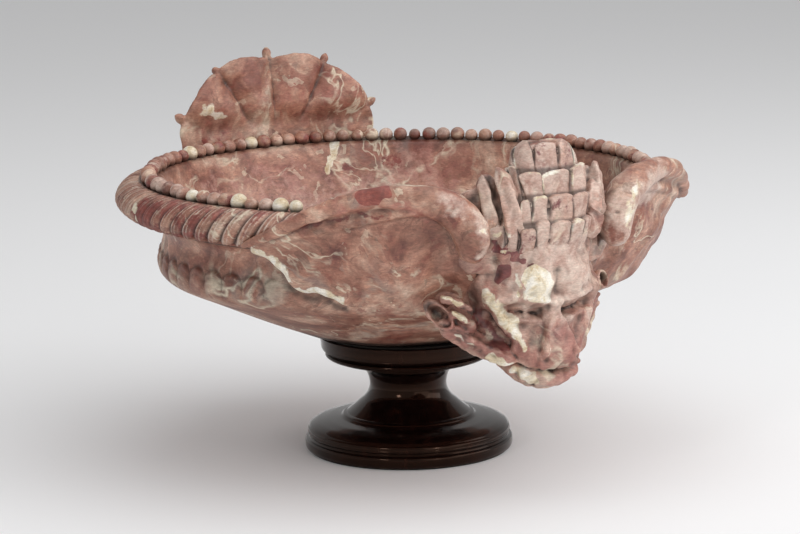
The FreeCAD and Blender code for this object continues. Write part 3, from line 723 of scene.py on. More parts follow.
@dataclass(frozen=True)
class PolishedHardwood:
    """Dark stained hardwood, turned and french polished: near black with red-brown depth and highlights."""

    name: str = "stained_polished_hardwood"
    streaks: Stops = ((0.3, "0a0403"), (0.55, "130806"), (0.85, "29120b"))
    figure_mm: float = 14.0
    roughness: float = 0.13

    def build(self) -> bpy.types.Material:
        """Make the material, with streaks of grain that run along Z."""
        made, tree, shader, place = new_finish(self.name)
        drawn = add_node(tree, "Mapping", {"Vector": place, "Scale": (1.0, 1.0, 0.1)}).outputs[0]
        streak = add_node(tree, "TexNoise", {
            "Vector": drawn, "Scale": scale(self.figure_mm), "Detail": 6.0,
            "Distortion": 0.6}).outputs["Fac"]
        tone = add_node(tree, "ValToRGB", {"Fac": streak}, stops=self.streaks)
        bump = add_node(tree, "Bump", {"Height": streak, "Strength": 0.03, "Distance": 0.4 * MM})
        wire(tree, shader, {
            "Base Color": tone.outputs["Color"], "Roughness": self.roughness, "Specular IOR Level": 0.42,
            "Specular Tint": linear("c49478"), "Coat Weight": 0.06, "Coat Roughness": 0.08,
            "Normal": bump.outputs["Normal"]})
        return made


@dataclass(frozen=True)
class PlainGrit:
    """Felt or iron: one colour broken up by a grit of its own size."""

    name: str
    stops: Stops
    grit_mm: float
    roughness: float
    metallic: float = 0.0

    def build(self) -> bpy.types.Material:
        """Make the material."""
        made, tree, shader, place = new_finish(self.name)
        grit = add_node(tree, "TexNoise", {
            "Vector": place, "Scale": scale(self.grit_mm), "Detail": 4.0}).outputs["Fac"]
        tone = add_node(tree, "ValToRGB", {"Fac": grit}, stops=self.stops)
        bump = add_node(tree, "Bump", {"Height": grit, "Strength": 0.4, "Distance": 0.4 * MM})
        wire(tree, shader, {
            "Base Color": tone.outputs["Color"], "Roughness": self.roughness, "Metallic": self.metallic,
            "Normal": bump.outputs["Normal"]})
        return made


def dress(piece: bpy.types.Object, finish: bpy.types.Material, body: Body,
          nodes: tuple[str, ...] = ()) -> None:
    """Give a piece its finish, let it ride on a body and stand for CAD nodes.

    Args:
        piece: The piece.
        finish: Its material.
        body: Body that it moves with.
        nodes: CAD nodes that it stands for.
    """
    piece.data.materials.clear()
    piece.data.materials.append(finish)
    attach(piece, body.value)
    if nodes:
        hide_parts(*nodes)
    LOG.info("%s: %d faces on %s", piece.name, len(piece.data.polygons), body.value)


def dirt_and_shade_of(piece: bpy.types.Object, fine: float, broad: float) -> np.ndarray:
    """Share of old grime and painted shade at each vertex, from how deep it lies.

    Args:
        piece: The piece.
        fine: Recess in millimetres over a few edges that counts as fully darkened.
        broad: The same over a wide neighbourhood.

    Returns:
        One share for each vertex.
    """
    near = recess(piece.data, NEAR_ROUNDS) / MM / fine
    wide = recess(piece.data, WIDE_ROUNDS) / MM / broad
    return np.clip(near, 0, 1) * DIRT_AND_SHADE_SHARE + np.clip(wide, 0, 1) * DIRT_AND_SHADE_SHARE


def shade_stone(piece: bpy.types.Object, dirt_and_shade: np.ndarray, patches: Patches) -> None:
    """Store where a marble piece is darkened by grime and painted shade, and where its patches lie.

    Args:
        piece: The piece.
        dirt_and_shade: Share of grime and painted shade at each vertex.
        patches: Attribute name to the strokes that paint it.
    """
    points = vertices_of(piece.data) / MM
    points += np.stack([waves(points, seed, RAGGED_SIZE) for seed in RAGGED_SEEDS], axis=1) * RAGGED_WAY
    layers = {name: np.max([stroke.height * stroke.weight(points) for stroke in strokes], axis=0)
              for name, strokes in patches.items()}
    layers["hollow"] = np.maximum(dirt_and_shade, layers.get("hollow", 0))
    for name, values in layers.items():
        put_attribute(piece.data, name, values)


@dataclass(frozen=True)
class Carving:
    """How a carved piece is skinned, worn, and darkened by grime and painted shade.

    Attributes:
        voxel: Edge of the voxels that join its surfaces, in millimetres.
        smoothing: Rounds of smoothing afterwards.
        wear: Depth and shortest wavelength of the wear, in millimetres.
        dirt_and_shade: Recess that counts as fully darkened, by grime and painted shade, over a few edges
            and over a wide neighbourhood, in millimetres.
    """

    voxel: float
    smoothing: int
    wear: tuple[float, float]
    dirt_and_shade: tuple[float, float]

    def carve(self, name: str, surfaces: list[Surface], patches: Patches) -> bpy.types.Object:
        """Join surfaces into one worn skin and store its grime, painted shade and patches.

        Args:
            name: Name of the piece.
            surfaces: Closed surfaces that overlap.
            patches: Attribute name to the strokes that paint it.

        Returns:
            The piece.
        """
        piece = make_piece(name, surfaces)
        fuse(piece, self.voxel * MM, self.smoothing)
        weather(piece, *self.wear)
        shade_stone(piece, dirt_and_shade_of(piece, *self.dirt_and_shade), patches)
        return piece


@dataclass
class Bowl:
    """Bowl with a gadrooned rim, tongues on its belly and a course of beads.

    Radii are measured from the bowl's own axis and heights from its underside, in
    millimetres. Angles start at the mask and grow towards +X.
    """

    finish: bpy.types.Material
    slot: str = "bowl_marble"
    # Gadroons: depth in millimetres, bow and lean in widths of a lobe, exponents of their section.
    lobes: int = 100
    lobe_samples: int = 18
    lobe_depth: float = 6.2
    lobe_bow: float = 0.5
    lobe_lean: float = 2.5
    lobe_skew: float = 0.72
    lobe_round: float = 0.5
    # Place across a lobe, half-width and weight of its folds and of its pale lines.
    folds: Knots = ((0.36, 0.07, 1.0), (0.6, 0.07, 0.8))
    lines: Knots = ((0.19, 0.075, 1.0), (0.47, 0.06, 0.8), (0.72, 0.06, 0.6))
    fold_depth: float = 0.9
    # Number, phase and height of the waves round the rim.
    wobble: Knots = ((5, 1.0, 0.5), (11, 0.0, 0.4))
    # Angle up to which the wings hide the rim, and how far it draws back there.
    hidden_angle: float = 61.0
    hidden_depth: float = 16.0
    # Tongues: swelling, depth of the grooves, arch of their tops, and angle from which they show.
    tongues: int = 58
    tongue_samples: int = 12
    tongue_swell: float = 1.5
    tongue_groove: float = 1.4
    tongue_angle: float = 60.0
    belly_rows: int = 72
    belly_crowd: float = 0.6
    arch_drop: float = 8.0
    arch_power: float = 2.4
    inner_arch: float = 7.5
    bead_seed: int = 7
    bead_count: int = 100
    bead_radius: float = 7.8
    bead_circle: float = 253.0
    bead_clear: float = 51.0
    bead_stand_share: float = 0.66
    white_beads: tuple[int, ...] = (14, 15, 18, 22, 41, 47, 66)
    under: Knots = ((0, 0), (50, 0))
    belly: Knots = (
        (92, 0), (150, 23.5), (205, 48), (234, 61), (243, 68), (245.6, 76), (245, 86), (242.6, 95))
    cove: Knots = ((242.6, 95), (240.4, 102), (239.8, 108), (241.4, 114), (246, 119.5), (252, 123))
    rim: Knots = (
        (252, 123), (264, 125.5), (276, 129), (284, 134.5), (287.6, 142), (285.4, 150.5), (279, 157.5),
        (270, 162), (262, 162.5))
    # The rim's hidden inner face, and the wall of the bowl behind it.
    ledge: Knots = ((259, 159.5), (250, 159), (247, 150), (245, 135), (249, 122))
    wall: Knots = ((248, 135), (249, 150), (249.5, 158.6))
    cavity: Knots = (
        (248, 160.6), (244.6, 159), (241.3, 148), (228, 114.6), (206, 84.8), (159, 59.8), (90.6, 45.6),
        (40, 42.4), (0, 42))

    def __post_init__(self) -> None:
        """Read the bowl's axis and underside from the frame."""
        low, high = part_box("bowl")
        self.axis = np.array([0.0, (low.y + high.y) / 2, 0.0])
        self.base = low.z

    @staticmethod
    def circle(count: int) -> tuple[np.ndarray, np.ndarray]:
        """Angles round the axis in radians, and the same as degrees from the mask to either side."""
        angles = np.linspace(0, 2 * np.pi, count, endpoint=False)
        return angles, np.degrees(np.minimum(angles, 2 * np.pi - angles))

    def turned(self, profile: np.ndarray, shift: np.ndarray, angles: np.ndarray) -> np.ndarray:
        """Carry a profile round the axis and move each point along the profile's normal.

        Args:
            profile: Rows of radius and height, in millimetres.
            shift: Way along the normal for each row and angle, in millimetres.
            angles: Angles in radians.

        Returns:
            Points of shape (rows, angles, 3), in metres.
        """
        along = np.gradient(profile, axis=0)
        along /= np.maximum(np.linalg.norm(along, axis=1, keepdims=True), 1e-9)
        radius = profile[:, 0][:, None] + shift * along[:, 1][:, None]
        height = profile[:, 1][:, None] - shift * along[:, 0][:, None]
        radius, height = radius * MM, height * MM + self.base
        return np.stack([radius * np.sin(angles), -radius * np.cos(angles), height], axis=-1) + self.axis

    def make_rim(self) -> None:
        """Gadroons: tilted coins with a bowed edge that rise fast and fall slowly round the rim."""
        angles, front = self.circle(self.lobe_samples * self.lobes)
        outer = evenly(curve(self.rim, 200), 41)
        profile = np.vstack([outer, self.ledge])
        t = np.r_[np.linspace(0, 1, len(outer)), np.ones(len(self.ledge))][:, None]
        leant = self.lobes * angles[None] / (2 * np.pi) - self.lobe_lean * t
        u = (leant - self.lobe_bow * np.sin(np.pi * t)) % 1.0
        lobe = np.sin(np.pi * u ** self.lobe_skew) ** self.lobe_round
        folds = bells(u, self.folds)
        fade = ease(0.0, 0.1, t) * ease(1.0, 0.95, t)
        wobble = sum(high * np.sin(number * angles + phase) for number, phase, high in self.wobble)
        cover = lookup(Wing.top, front)[None] - self.base / MM - profile[:, 1][:, None]
        tuck = self.hidden_depth * ease(self.hidden_angle, self.hidden_angle - 10, front)[None]
        tuck = tuck * ease(-3.0, 6.0, cover)
        shift = ((lobe - 1) * self.lobe_depth - folds * self.fold_depth + wobble[None] - tuck) * fade
        grid = self.turned(profile, shift, angles)
        rim = make_piece("marble_rim", [Surface(grid, wrap_u=True, caps=False, flip=True)])
        # Painted shade in the grooves between the gadroons and in their folds, and on the rim's hidden
        # inner face.
        dirt_and_shade = (bell(np.minimum(u, 1 - u), 0.13) + 0.3 * folds) * fade + 0.8 * (t == 1)
        shade_stone(rim, dirt_and_shade.ravel(), {
            "cream": [Stroke(((-221, -110, 268), (-203, -142, 276)), 9, 0.9),
                      Stroke(((-286, 40, 275), (-285, 30, 262)), 6, 0.7)],
            "ruddy": [Stroke(((-286, 30, 262), (-250, -80, 264), (-225, -125, 262)), 30, 0.6)]})
        put_attribute(rim.data, "pale", (0.95 * bells(u, self.lines) * fade).ravel())
        dress(rim, self.finish, Body.BASIN)

    def make_body(self) -> None:
        """Bowl below the rim and inside it; the belly has tongues with arched tops that fade downwards."""
        angles, front = self.circle(self.tongue_samples * self.tongues)
        # Rows of the belly lie closer together near its top, where the tongues are.
        crowded = np.rint(300 * np.linspace(0, 1, self.belly_rows) ** self.belly_crowd).astype(int)
        belly = evenly(curve(self.belly, 300), 301)[crowded]
        inside = evenly(curve(self.cavity, 200), 46)[:-1]
        profile = np.vstack([self.under, belly, evenly(curve(self.cove, 80), 14)[1:], self.wall, inside])
        down = (self.belly[-1][1] - profile[:, 1])[:, None]
        on_belly = np.zeros((len(profile), 1))
        on_belly[len(self.under):len(self.under) + len(belly)] = 1
        u = 2 * ((self.tongues * angles / (2 * np.pi)) % 1.0)[None] - 1
        below = down - (1.0 + self.arch_drop * np.abs(u) ** self.arch_power)
        within = ease(-1.0, 2.5, below)
        shown = ease(self.tongue_angle - 4, self.tongue_angle + 2, front)[None]
        fade = ease(32.0, 12.0, down) * on_belly * shown
        arches = bell(below, 2.0) + bell(below - self.inner_arch, 1.4) * 0.6
        groove = np.minimum(arches + bell(np.abs(u) - 1, 0.16) * within, 1)
        shift = (self.tongue_swell * (1 - u ** 2) * within - self.tongue_groove * groove) * fade
        shift = shift + 0.5 * np.sin(7 * angles)[None] * on_belly
        body = make_piece("marble_bowl", [Surface(self.turned(profile, shift, angles), flip=True)])
        dirt_and_shade = dirt_and_shade_of(body, 1.4, 16.0)
        # The cavity keeps only 0.3 of the darkening from grime and painted shade; its rows come last,
        # before the two cap points.
        dirt_and_shade[-2 - len(inside) * len(angles):-2] *= 0.3
        # Grooves of the tongues get a dark line of grime and painted shade.
        shade_stone(body, dirt_and_shade + np.r_[(0.7 * groove * fade).ravel(), 0, 0], self.body_patches())
        dress(body, self.finish, Body.BASIN, ("bowl",))

    @staticmethod
    def body_patches() -> Patches:
        """Vein and clouds in the cavity, painted shade under the left wing's edge and on the inner wall
        right of the mask, and a pale spot on the flank left of the mask.
        """
        return {
            "cream": [Stroke(((60, 255, 284), (40, 235, 250), (30, 215, 215), (0, 190, 195)), 6, 0.95,
                             Profile.FLAT),
                      Stroke(((-40, 232, 276), (0, 240, 280), (50, 238, 282)), 9, 0.8),
                      Stroke(((-60, 215, 235), (-10, 212, 222), (40, 225, 236)), 5, 0.6),
                      Stroke(((-168, -150, 205), (-160, -152, 196)), 9, 0.9)],
            # Painted shade under the lower edge of the left wing and on the shaded inner wall right of the
            # mask.
            "hollow": [Stroke(((-222, -112, 240), (-209, -116, 226), (-201, -124, 212), (-196, -134, 201),
                               (-180, -152, 198), (-166, -166, 190)), 5, 0.85),
                       Stroke(((190, 80, 255), (215, 20, 262), (232, -40, 265)), 34, 0.5)],
            "ruddy": [Stroke(((60, 235, 262), (110, 215, 262)), 22, 0.55),
                      Stroke(((-170, 160, 255), (-150, 190, 262)), 14, 0.55)],
            "rosy": [Stroke(((-190, 130, 250), (-30, 225, 245), (150, 190, 250)), 60, 0.5)],
            "pale": [Stroke(((-170, 150, 240), (-30, 210, 225), (120, 190, 232)), 75, 0.5)]}

    def make_beads(self) -> None:
        """Beads: small balls on the ledge, each a little off in size and place."""
        rng = np.random.default_rng(self.bead_seed)
        turn = (np.arange(self.bead_count) + 0.5) / self.bead_count * 360
        turn = np.radians(turn[np.minimum(turn, 360 - turn) > self.bead_clear])
        rise = np.linspace(-np.pi / 2, np.pi / 2, 12)[1:-1, None]
        about = np.linspace(0, 2 * np.pi, 18, endpoint=False)[None]
        level = np.cos(rise)
        ball = np.stack([level * np.cos(about), level * np.sin(about), np.sin(rise) + 0 * about], -1)
        ledge = self.cavity[0][1]
        size = self.bead_radius * (1 + 0.07 * rng.standard_normal(len(turn)))
        circle = self.bead_circle + 0.6 * rng.standard_normal(len(turn))
        height = ledge + self.bead_radius * self.bead_stand_share + 0.4 * rng.standard_normal(len(turn))
        centre = np.stack([circle * np.sin(turn), -circle * np.cos(turn), height], axis=1) * MM + self.axis
        centre[:, 2] += self.base
        beads = make_piece("marble_beads", [Surface(ball * s * MM + c) for s, c in zip(size, centre)])
        each = ball.shape[0] * ball.shape[1] + 2
        tint = np.repeat(rng.random(len(turn)), each)
        order = np.rint((1 - turn / (2 * np.pi)) * self.bead_count - 0.5).astype(int)
        foot = (vertices_of(beads.data)[:, 2] - self.base) / MM - ledge
        # The foot of each bead, where it sits in the ledge, is darkened as painted shade.
        layers = {"cream": np.repeat(np.isin(order, self.white_beads), each) * 0.72,
                  "ruddy": (tint < 0.25) * 0.42,
                  "pale": 0.36 + (np.abs(tint - 0.7) < 0.12) * 0.2,
                  "hollow": ease(6.5, 1.0, foot) * 0.9}
        for name, values in layers.items():
            put_attribute(beads.data, name, values)
        dress(beads, self.finish, Body.BASIN)

    def build(self) -> None:
        """Make the rim, the body and the beads."""
        self.make_rim()
        self.make_body()
        self.make_beads()


@dataclass
class Wing:
    """One bat-like wing on the bowl's flank, ending beside the mask in a thick roll.

    Knots give an angle from the mask in degrees and a height or radius in
    millimetres.
    """

    side: Side
    finish: bpy.types.Material
    axis: np.ndarray
    carving: Carving = Carving(1.6, 3, (0.5, 16), (0.7, 5.0))
    samples: tuple[int, int] = (190, 110)
    tip: float = 60.5
    root: float = 14.0
    half_thickness: float = 5.5
    top: Knots = (
        (62, 251), (58, 262), (54, 272), (48, 289), (42, 301), (38, 308), (33, 312), (28.6, 312.5),
        (24, 309), (20, 302), (17, 291), (14, 272))
    low: Knots = (
        (62, 246), (57.5, 240), (55, 227), (53.2, 213), (52, 205), (47, 203), (42, 192), (36, 178),
        (30, 166), (24, 157), (18, 151), (14, 148))
    crease: Knots = (
        (62, 246), (54, 256), (46, 265), (39.5, 272.5), (33.5, 279.5), (28, 283.5), (24, 283),
        (20, 279), (14, 262))
    # Height and radius of the outer face.
    face: Knots = (
        (146, 151), (165, 194.5), (180, 229), (190, 245), (205, 254), (225, 266), (245, 277),
        (262, 284), (280, 287), (300, 288), (318, 288))
    # Angle, height, radius from the axis and thickness of the roll.
    roll: Knots = (
        (61, 252, 286, 2.5), (57, 260, 288, 4.5), (53, 269, 289, 6), (48, 282, 289, 7),
        (42, 294, 288, 8.5), (36, 301.5, 287, 10), (30, 303, 285, 11.5), (25, 299, 284, 14),
        (20.5, 291, 284, 16), (17.4, 277, 285, 17.5), (16.2, 261, 286, 17), (16.6, 248, 286, 13),
        (17.2, 241, 286, 7))
    arm_rise: float = 4.0
    crease_depth: float = 2.6
    # Angle and its half-width, height and its half-width, and depth of the hollows by the root.
    hollows: Knots = ((21.5, 4.2, 243, 30, 13), (19, 4, 203, 13, 8))
    # Way below the crease, half-width and depth of the long pools.
    pools: Knots = ((15, 15, 7.0), (-11, 6, 5.0))
    # Path, half-width and rise of the fingers, and millimetres to a degree of angle.
    fingers: tuple[tuple[Knots, float, float], ...] = (
        (((47, 204), (42, 193), (36, 179)), 5, 3.2),
        (((41, 262), (35, 235), (30, 195)), 8, 3.2),
        (((53, 214), (47, 240), (41, 262)), 7, 3.0))
    arc: float = 5.05
    # Angle of the seam on the left wing and its way below the top; ruddy and dark strokes along it paint
    # the shade under the roll.
    seam: Knots = ((23, 36), (30, 29), (42, 19), (54, 9))

    def spread(self, angle: np.ndarray, radius: np.ndarray, height: np.ndarray) -> np.ndarray:
        """Points in metres from an angle in degrees, a radius and a height in millimetres."""
        turn = np.radians(angle)
        across = self.side.value * radius * np.sin(turn)
        return np.stack([across, -radius * np.cos(turn), height], axis=-1) * MM + self.axis

    def relief(self, angle: np.ndarray, height: np.ndarray) -> np.ndarray:
        """How far the outer face stands out.

        A proud arm band ends in a crease, with long pools on both sides of it,
        hollows by the root and soft fingers over the skin.

        Args:
            angle: Angle from the mask in degrees.
            height: Height above the floor in millimetres.

        Returns:
            Rise of each point in millimetres.
        """
        below = lookup(self.crease, angle) - height
        away = ease(60, 48, angle) * ease(14, 24, angle)
        arm = self.arm_rise * ease(1.5, -2.0, below) * away
        cut = -self.crease_depth * bell(below, 1.5) * ease(44, 38, angle) * ease(20, 25, angle)
        hollow = sum(depth * bell(angle - turn, wide) * bell(height - rise, tall)
                     for turn, wide, rise, tall, depth in self.hollows)
        pool = sum(depth * bell(below - middle, width) * away for middle, width, depth in self.pools)
        spot = np.stack([angle * self.arc, height], axis=-1)
        finger = sum(rise * bell(gap_to(spot, np.asarray(path, float) * [self.arc, 1]), width)
                     for path, width, rise in self.fingers)
        return arm + cut - hollow - pool + finger

    def blade(self) -> Surface:
        """Shell of the wing: a lens-shaped section, thick in the middle and closed at both edges."""
        share = (1 - np.cos(np.linspace(0, np.pi, self.samples[1]))) / 2
        angle = np.linspace(self.tip, self.root, self.samples[0])[:, None] + 0 * share[None]
        low, top = lookup(self.low, angle), lookup(self.top, angle)
        height = low + (top - low) * share[None]
        middle = lookup(self.face, height) - self.half_thickness
        taper = (1 - np.abs(2 * share - 1) ** 14) ** 0.5
        half = self.half_thickness * taper[None] * ease(63.5, 57, angle)
        carved = self.relief(angle, height) * taper[None]
        outer = self.spread(angle, middle + half + carved, height)
        inner = self.spread(angle, middle - half + np.minimum(carved, 0), height)
        return lens(outer, inner, self.side is Side.LEFT)

    def left_patches(self) -> Patches:
        """White lower edge, and ruddy and dark strokes of painted shade along the seam below the arm, down
        a fold and beside the face, on the wing left of the mask.
        """
        turn = np.linspace(59, 44, 12)
        foot = lookup(self.low, turn)
        edge = tuple(self.spread(turn, lookup(self.face, foot) - 3, foot + 4) / MM)
        # The seam follows the crease under the roll; the ruddy and dark strokes along it are painted shade.
        turn = np.linspace(54, 23, 12)
        under = lookup(self.top, turn) - np.interp(turn, *zip(*self.seam))
        seam = self.spread(turn, lookup(self.face, under), under) / MM
        return {
            "ruddy": [Stroke(((-173, -224, 306), (-159, -234, 310)), 9, 0.9, Profile.FLAT),
                      Stroke(tuple(seam), 6, 0.52)],
            "rosy": [Stroke(tuple(seam + [0, 0, 13]), 12, 0.62)],
            # Painted shade: along the seam, down a fold of the skin, and in the gap between the wing and
            # the face.
            "hollow": [Stroke(tuple(seam), 2.0, 0.4),
                       Stroke(((-204, -188, 270), (-184, -207, 257), (-163, -224, 246)), 5, 0.5),
                       Stroke(((-102, -237, 212), (-84, -237, 200), (-68, -231, 188)), 9, 0.85)],
            "cream": [Stroke(edge, 9, 0.95),
                      Stroke(((-78, -276, 290), (-70, -276, 272)), 9, 0.45)],
            "pale": [Stroke(((-110, -262, 300), (-72, -272, 280), (-74, -272, 250)), 14, 0.55)]}

    @staticmethod
    def right_patches() -> Patches:
        """Painted shade in the gap beside the locks, a dark line on the roll, and the pale roll of the wing
        right of the mask.
        """
        return {
            # The first stroke paints the shade in the gap between the roll and the locks.
            "hollow": [Stroke(((70, -256, 296), (65, -258, 268), (68, -252, 240), (74, -244, 222)), 8, 0.9),
                       Stroke(((128, -240, 290), (112, -252, 296)), 4, 0.5)],
            "cream": [Stroke(((99, -273, 292), (90, -278, 275), (86, -279, 262)), 13, 0.56),
                      Stroke(((100, -255, 235), (110, -245, 215)), 10, 0.6)],
            "pale": [Stroke(((140, -240, 290), (85, -265, 270), (100, -250, 225)), 26, 0.9)]}

    def build(self) -> None:
        """Join the blade and the roll, soften them and dress them."""
        angle, height, radius, thick = curve(self.roll, 90).T
        roll = tube(self.spread(angle, radius, height), np.maximum(thick, 0.5) * MM, 40)
        node = f"wing_{self.side.name.lower()}"
        patches = self.left_patches() if self.side is Side.LEFT else self.right_patches()
        wing = self.carving.carve("marble_" + node, [self.blade(), roll], patches)
        dress(wing, self.finish, Body.BASIN, (node,))


@dataclass
class Mask:
    """Beast mask with locks at the temples, fur on the jaw and pierced ears, in millimetres."""

    finish: bpy.types.Material
    carving: Carving = Carving(1.27, 1, (0.55, 9), (0.5, 2.8))
    samples: tuple[int, int] = (250, 320)
    powers: tuple[float, float] = (0.95, 1.0)
    # Height, half-width, front, middle and back along Y, and middle along X of each level of the head.
    levels: Knots = (
        (111, 12, -266, -256, -246, 0), (115, 20, -272, -250, -234, 0), (123, 29, -277, -246, -214, 0),
        (134, 37, -280, -243, -184, 0), (147, 43, -282, -238, -160, 0), (160, 52, -281, -234, -150, 0),
        (172, 60, -278, -232, -150, 0), (186, 65, -275, -231, -160, 0), (200, 67, -276, -231, -175, 0),
        (216, 66, -280, -232, -190, 0), (232, 63, -281, -234, -205, 0), (250, 58, -278, -238, -222, 0),
        (268, 50, -273, -241, -230, 0), (286, 38, -266, -244, -235, 0))
    # Height, half-width and rise of the flat bridge of the nose.
    nose: Knots = (
        (131, 12, 0), (137, 18, 6), (144, 19, 11), (154, 17, 11), (166, 14, 9), (180, 10, 7),
        (193, 6.5, 5), (206, 5, 0))
    # Cuts and swellings of both sides: path by way round from the middle line and height, width, rise.
    cuts: tuple[tuple[Knots, float, float], ...] = (
        # Brow and frown.
        (((19, 212), (25, 217)), 15, 9),
        (((4, 198), (20, 201), (36, 205), (56, 203)), 5, 5.5),
        (((0, 226), (0, 208)), 5, -3.5),
        # Socket, ball, lid, pupil and lower lid of the eye.
        (((13, 187), (28, 189), (44, 190)), 6.5, -8.5),
        (((30, 186.5),), 8, 5.5),
        (((15, 185), (30, 187.5), (45, 188.5)), 1.6, -4.5),
        (((31, 186.5),), 2.3, -5),
        (((16, 179.5), (31, 180.5), (47, 183)), 3, 2.6),
        # Nostril, cheek, muzzle, mouth, lip and chin.
        (((18, 147),), 6, 4),
        (((16, 145),), 3.4, -9),
        (((33, 174), (26, 160)), 9, -4.5),
        (((24, 139),), 11, 4.5),
        (((0, 139), (0, 131)), 2.4, -3),
        (((0, 129), (26, 133), (46, 138), (66, 147)), 2.2, -8),
        (((0, 121), (24, 126), (44, 131)), 6, 5),
        (((18, 123), (20, 114)), 3, -2.5),
        (((38, 131), (40, 121)), 3, -3.5),
        # Cheekbone, the deep cut behind it, temple and forehead.
        (((66, 204), (52, 188), (40, 170), (29, 154)), 9, 5),
        (((68, 184), (60, 170), (51, 157)), 5.5, -13),
        (((62, 224), (70, 236)), 10, -5),
        (((0, 240),), 26, 3),
        (((30, 237), (44, 241)), 7, -2.5))
    # Paths of the locks at the temples, each with its radius at foot and tip.
    locks: tuple[tuple[Knots, float, float], ...] = (
        (((-33, -264, 250), (-39, -266, 282), (-43, -262, 306), (-50, -256, 326)), 13, 7),
        (((-50, -254, 256), (-57, -254, 282), (-60, -252, 302), (-61, -248, 319)), 10, 5),
        (((-60, -248, 256), (-73, -248, 272), (-80, -243, 288), (-87, -237, 303)), 9, 5),
        (((44, -266, 252), (50, -266, 274), (54, -260, 292), (56, -256, 304)), 13, 7),
        (((58, -254, 250), (62, -258, 278), (62, -254, 300), (63, -250, 320)), 10, 7),
        (((66, -244, 250), (76, -244, 268), (82, -238, 280), (87, -232, 288)), 9, 5))
    # Locks of fur and the jaw, from the ear to the face, and their reach along X on the two sides.
    fur: tuple[tuple[Knots, float, float], ...] = (
        (((92, -224, 180), (79, -230, 167), (63, -240, 156), (48, -252, 148), (34, -265, 141)), 11, 11),
        (((88, -225, 190), (78, -234, 182), (64, -242, 170)), 12, 9),
        (((101, -236, 204), (93, -240, 202), (82, -246, 197), (72, -250, 190)), 5.5, 3),
        (((92, -238, 191), (84, -242, 186), (75, -247, 179)), 5, 3),
        (((98, -230, 181), (86, -237, 175), (74, -244, 168)), 4.5, 3))
    fur_reach: tuple[float, float] = (-1, 0.8)
    # Middle and half-widths of the blocks behind the locks, with their lean, yaw and squareness; painted
    # shade darkens them so that the gaps between the locks read as deep holes.
    backing: tuple[Knots, ...] = (((60, -243, 264), (25, 8, 40)), ((55, -246, 296), (10, 6, 21)))
    backing_turn: tuple[float, float, float] = (-4, 25, 0.6)
    # Mouth, way, long line and half-lengths of the two pierced ears.
    ears: tuple[Knots, ...] = (
        ((-100, -233, 187), (-0.55, -0.8, 0.25), (0.6, -0.25, -0.7), (1.3, 0.66)),
        ((72, -250, 206), (0.3, -0.9, 0.3), (0.2, 0.0, 1.0), (0.66, 0.6)))
    # Place along an ear's way and radius, up the wall, over the lip and down the hollow.
    ear_wall: Knots = (
        (-26, 7), (-14, 12), (-4, 14), (1, 13.5), (2, 11.5), (-3, 9.5), (-9, 6.5), (-12, 1))

    def head(self) -> Surface:
        """Level egg-shaped sections from chin to crown, carved by the cuts along their normals."""
        points, normal, way, height = eggs(self.levels, *self.samples, self.powers)
        unrolled = np.stack([way, height], axis=-1)
        strokes = [Stroke(path, width, rise, both=True) for path, width, rise in self.cuts]
        shift = sum(stroke.height * stroke.weight(unrolled) for stroke in strokes)
        bridge = curve(self.nose, 120)
        wide, rise = (np.interp(height, bridge[:, 0], bridge[:, k], 0, 0) for k in (1, 2))
        shift += rise * ease(wide + 2, wide - 2.5, np.abs(way))
        return Surface((points + normal * shift[..., None]) * MM, flip=True)

    def trimmings(self) -> list[Surface]:
        """Locks as tapering bent cones with a backing, and ears as cups turned about their own way."""
        share = np.linspace(0, 1, 50)
        fur = [(np.array(path) * (side, 1, 1), foot, tip)
               for path, foot, tip in self.fur for side in self.fur_reach]
        parts = []
        for path, foot, tip in list(self.locks) + fur:
            width = (foot + (tip - foot) * share ** 1.2) * np.sqrt(np.clip((1.005 - share) / 0.2, 0, 1))
            width *= np.sqrt(np.clip((share + 0.02) / 0.12, 0, 1))
            parts.append(tube(curve(path, len(share)) * MM, width * MM, 32, 0.3))
        lean, yaw, square = self.backing_turn
        for side, ear in zip(Side, self.ears):
            for middle, half in self.backing:
                centre = np.array(middle) * (side.value, 1, 1) * MM
                parts.append(slab(centre, np.array(half) * MM, lean, side.value * yaw, square))
            parts.append(self.cup(*(np.array(row, float) for row in ear)))
        return parts

    def cup(self, mouth: np.ndarray, way: np.ndarray, line: np.ndarray, size: np.ndarray) -> Surface:
        """Oval cup turned about a line: out along the wall, over the lip and back down the hollow.

        Args:
            mouth: Middle of the lip.
            way: Where the mouth looks.
            line: Long direction of the oval.
            size: Stretch along and across the long direction.

        Returns:
            The closed surface.
        """
        profile = curve(self.ear_wall, 50)
        way = way / np.linalg.norm(way)
        across = np.cross(way, line)
        across /= np.linalg.norm(across)
        along = np.cross(across, way)
        turn = np.linspace(0, 2 * np.pi, 36, endpoint=False)[None, :, None]
        ring = np.cos(turn) * along * size[0] + np.sin(turn) * across * size[1]
        return Surface((mouth + profile[:, :1, None] * way + profile[:, 1:, None] * ring) * MM)

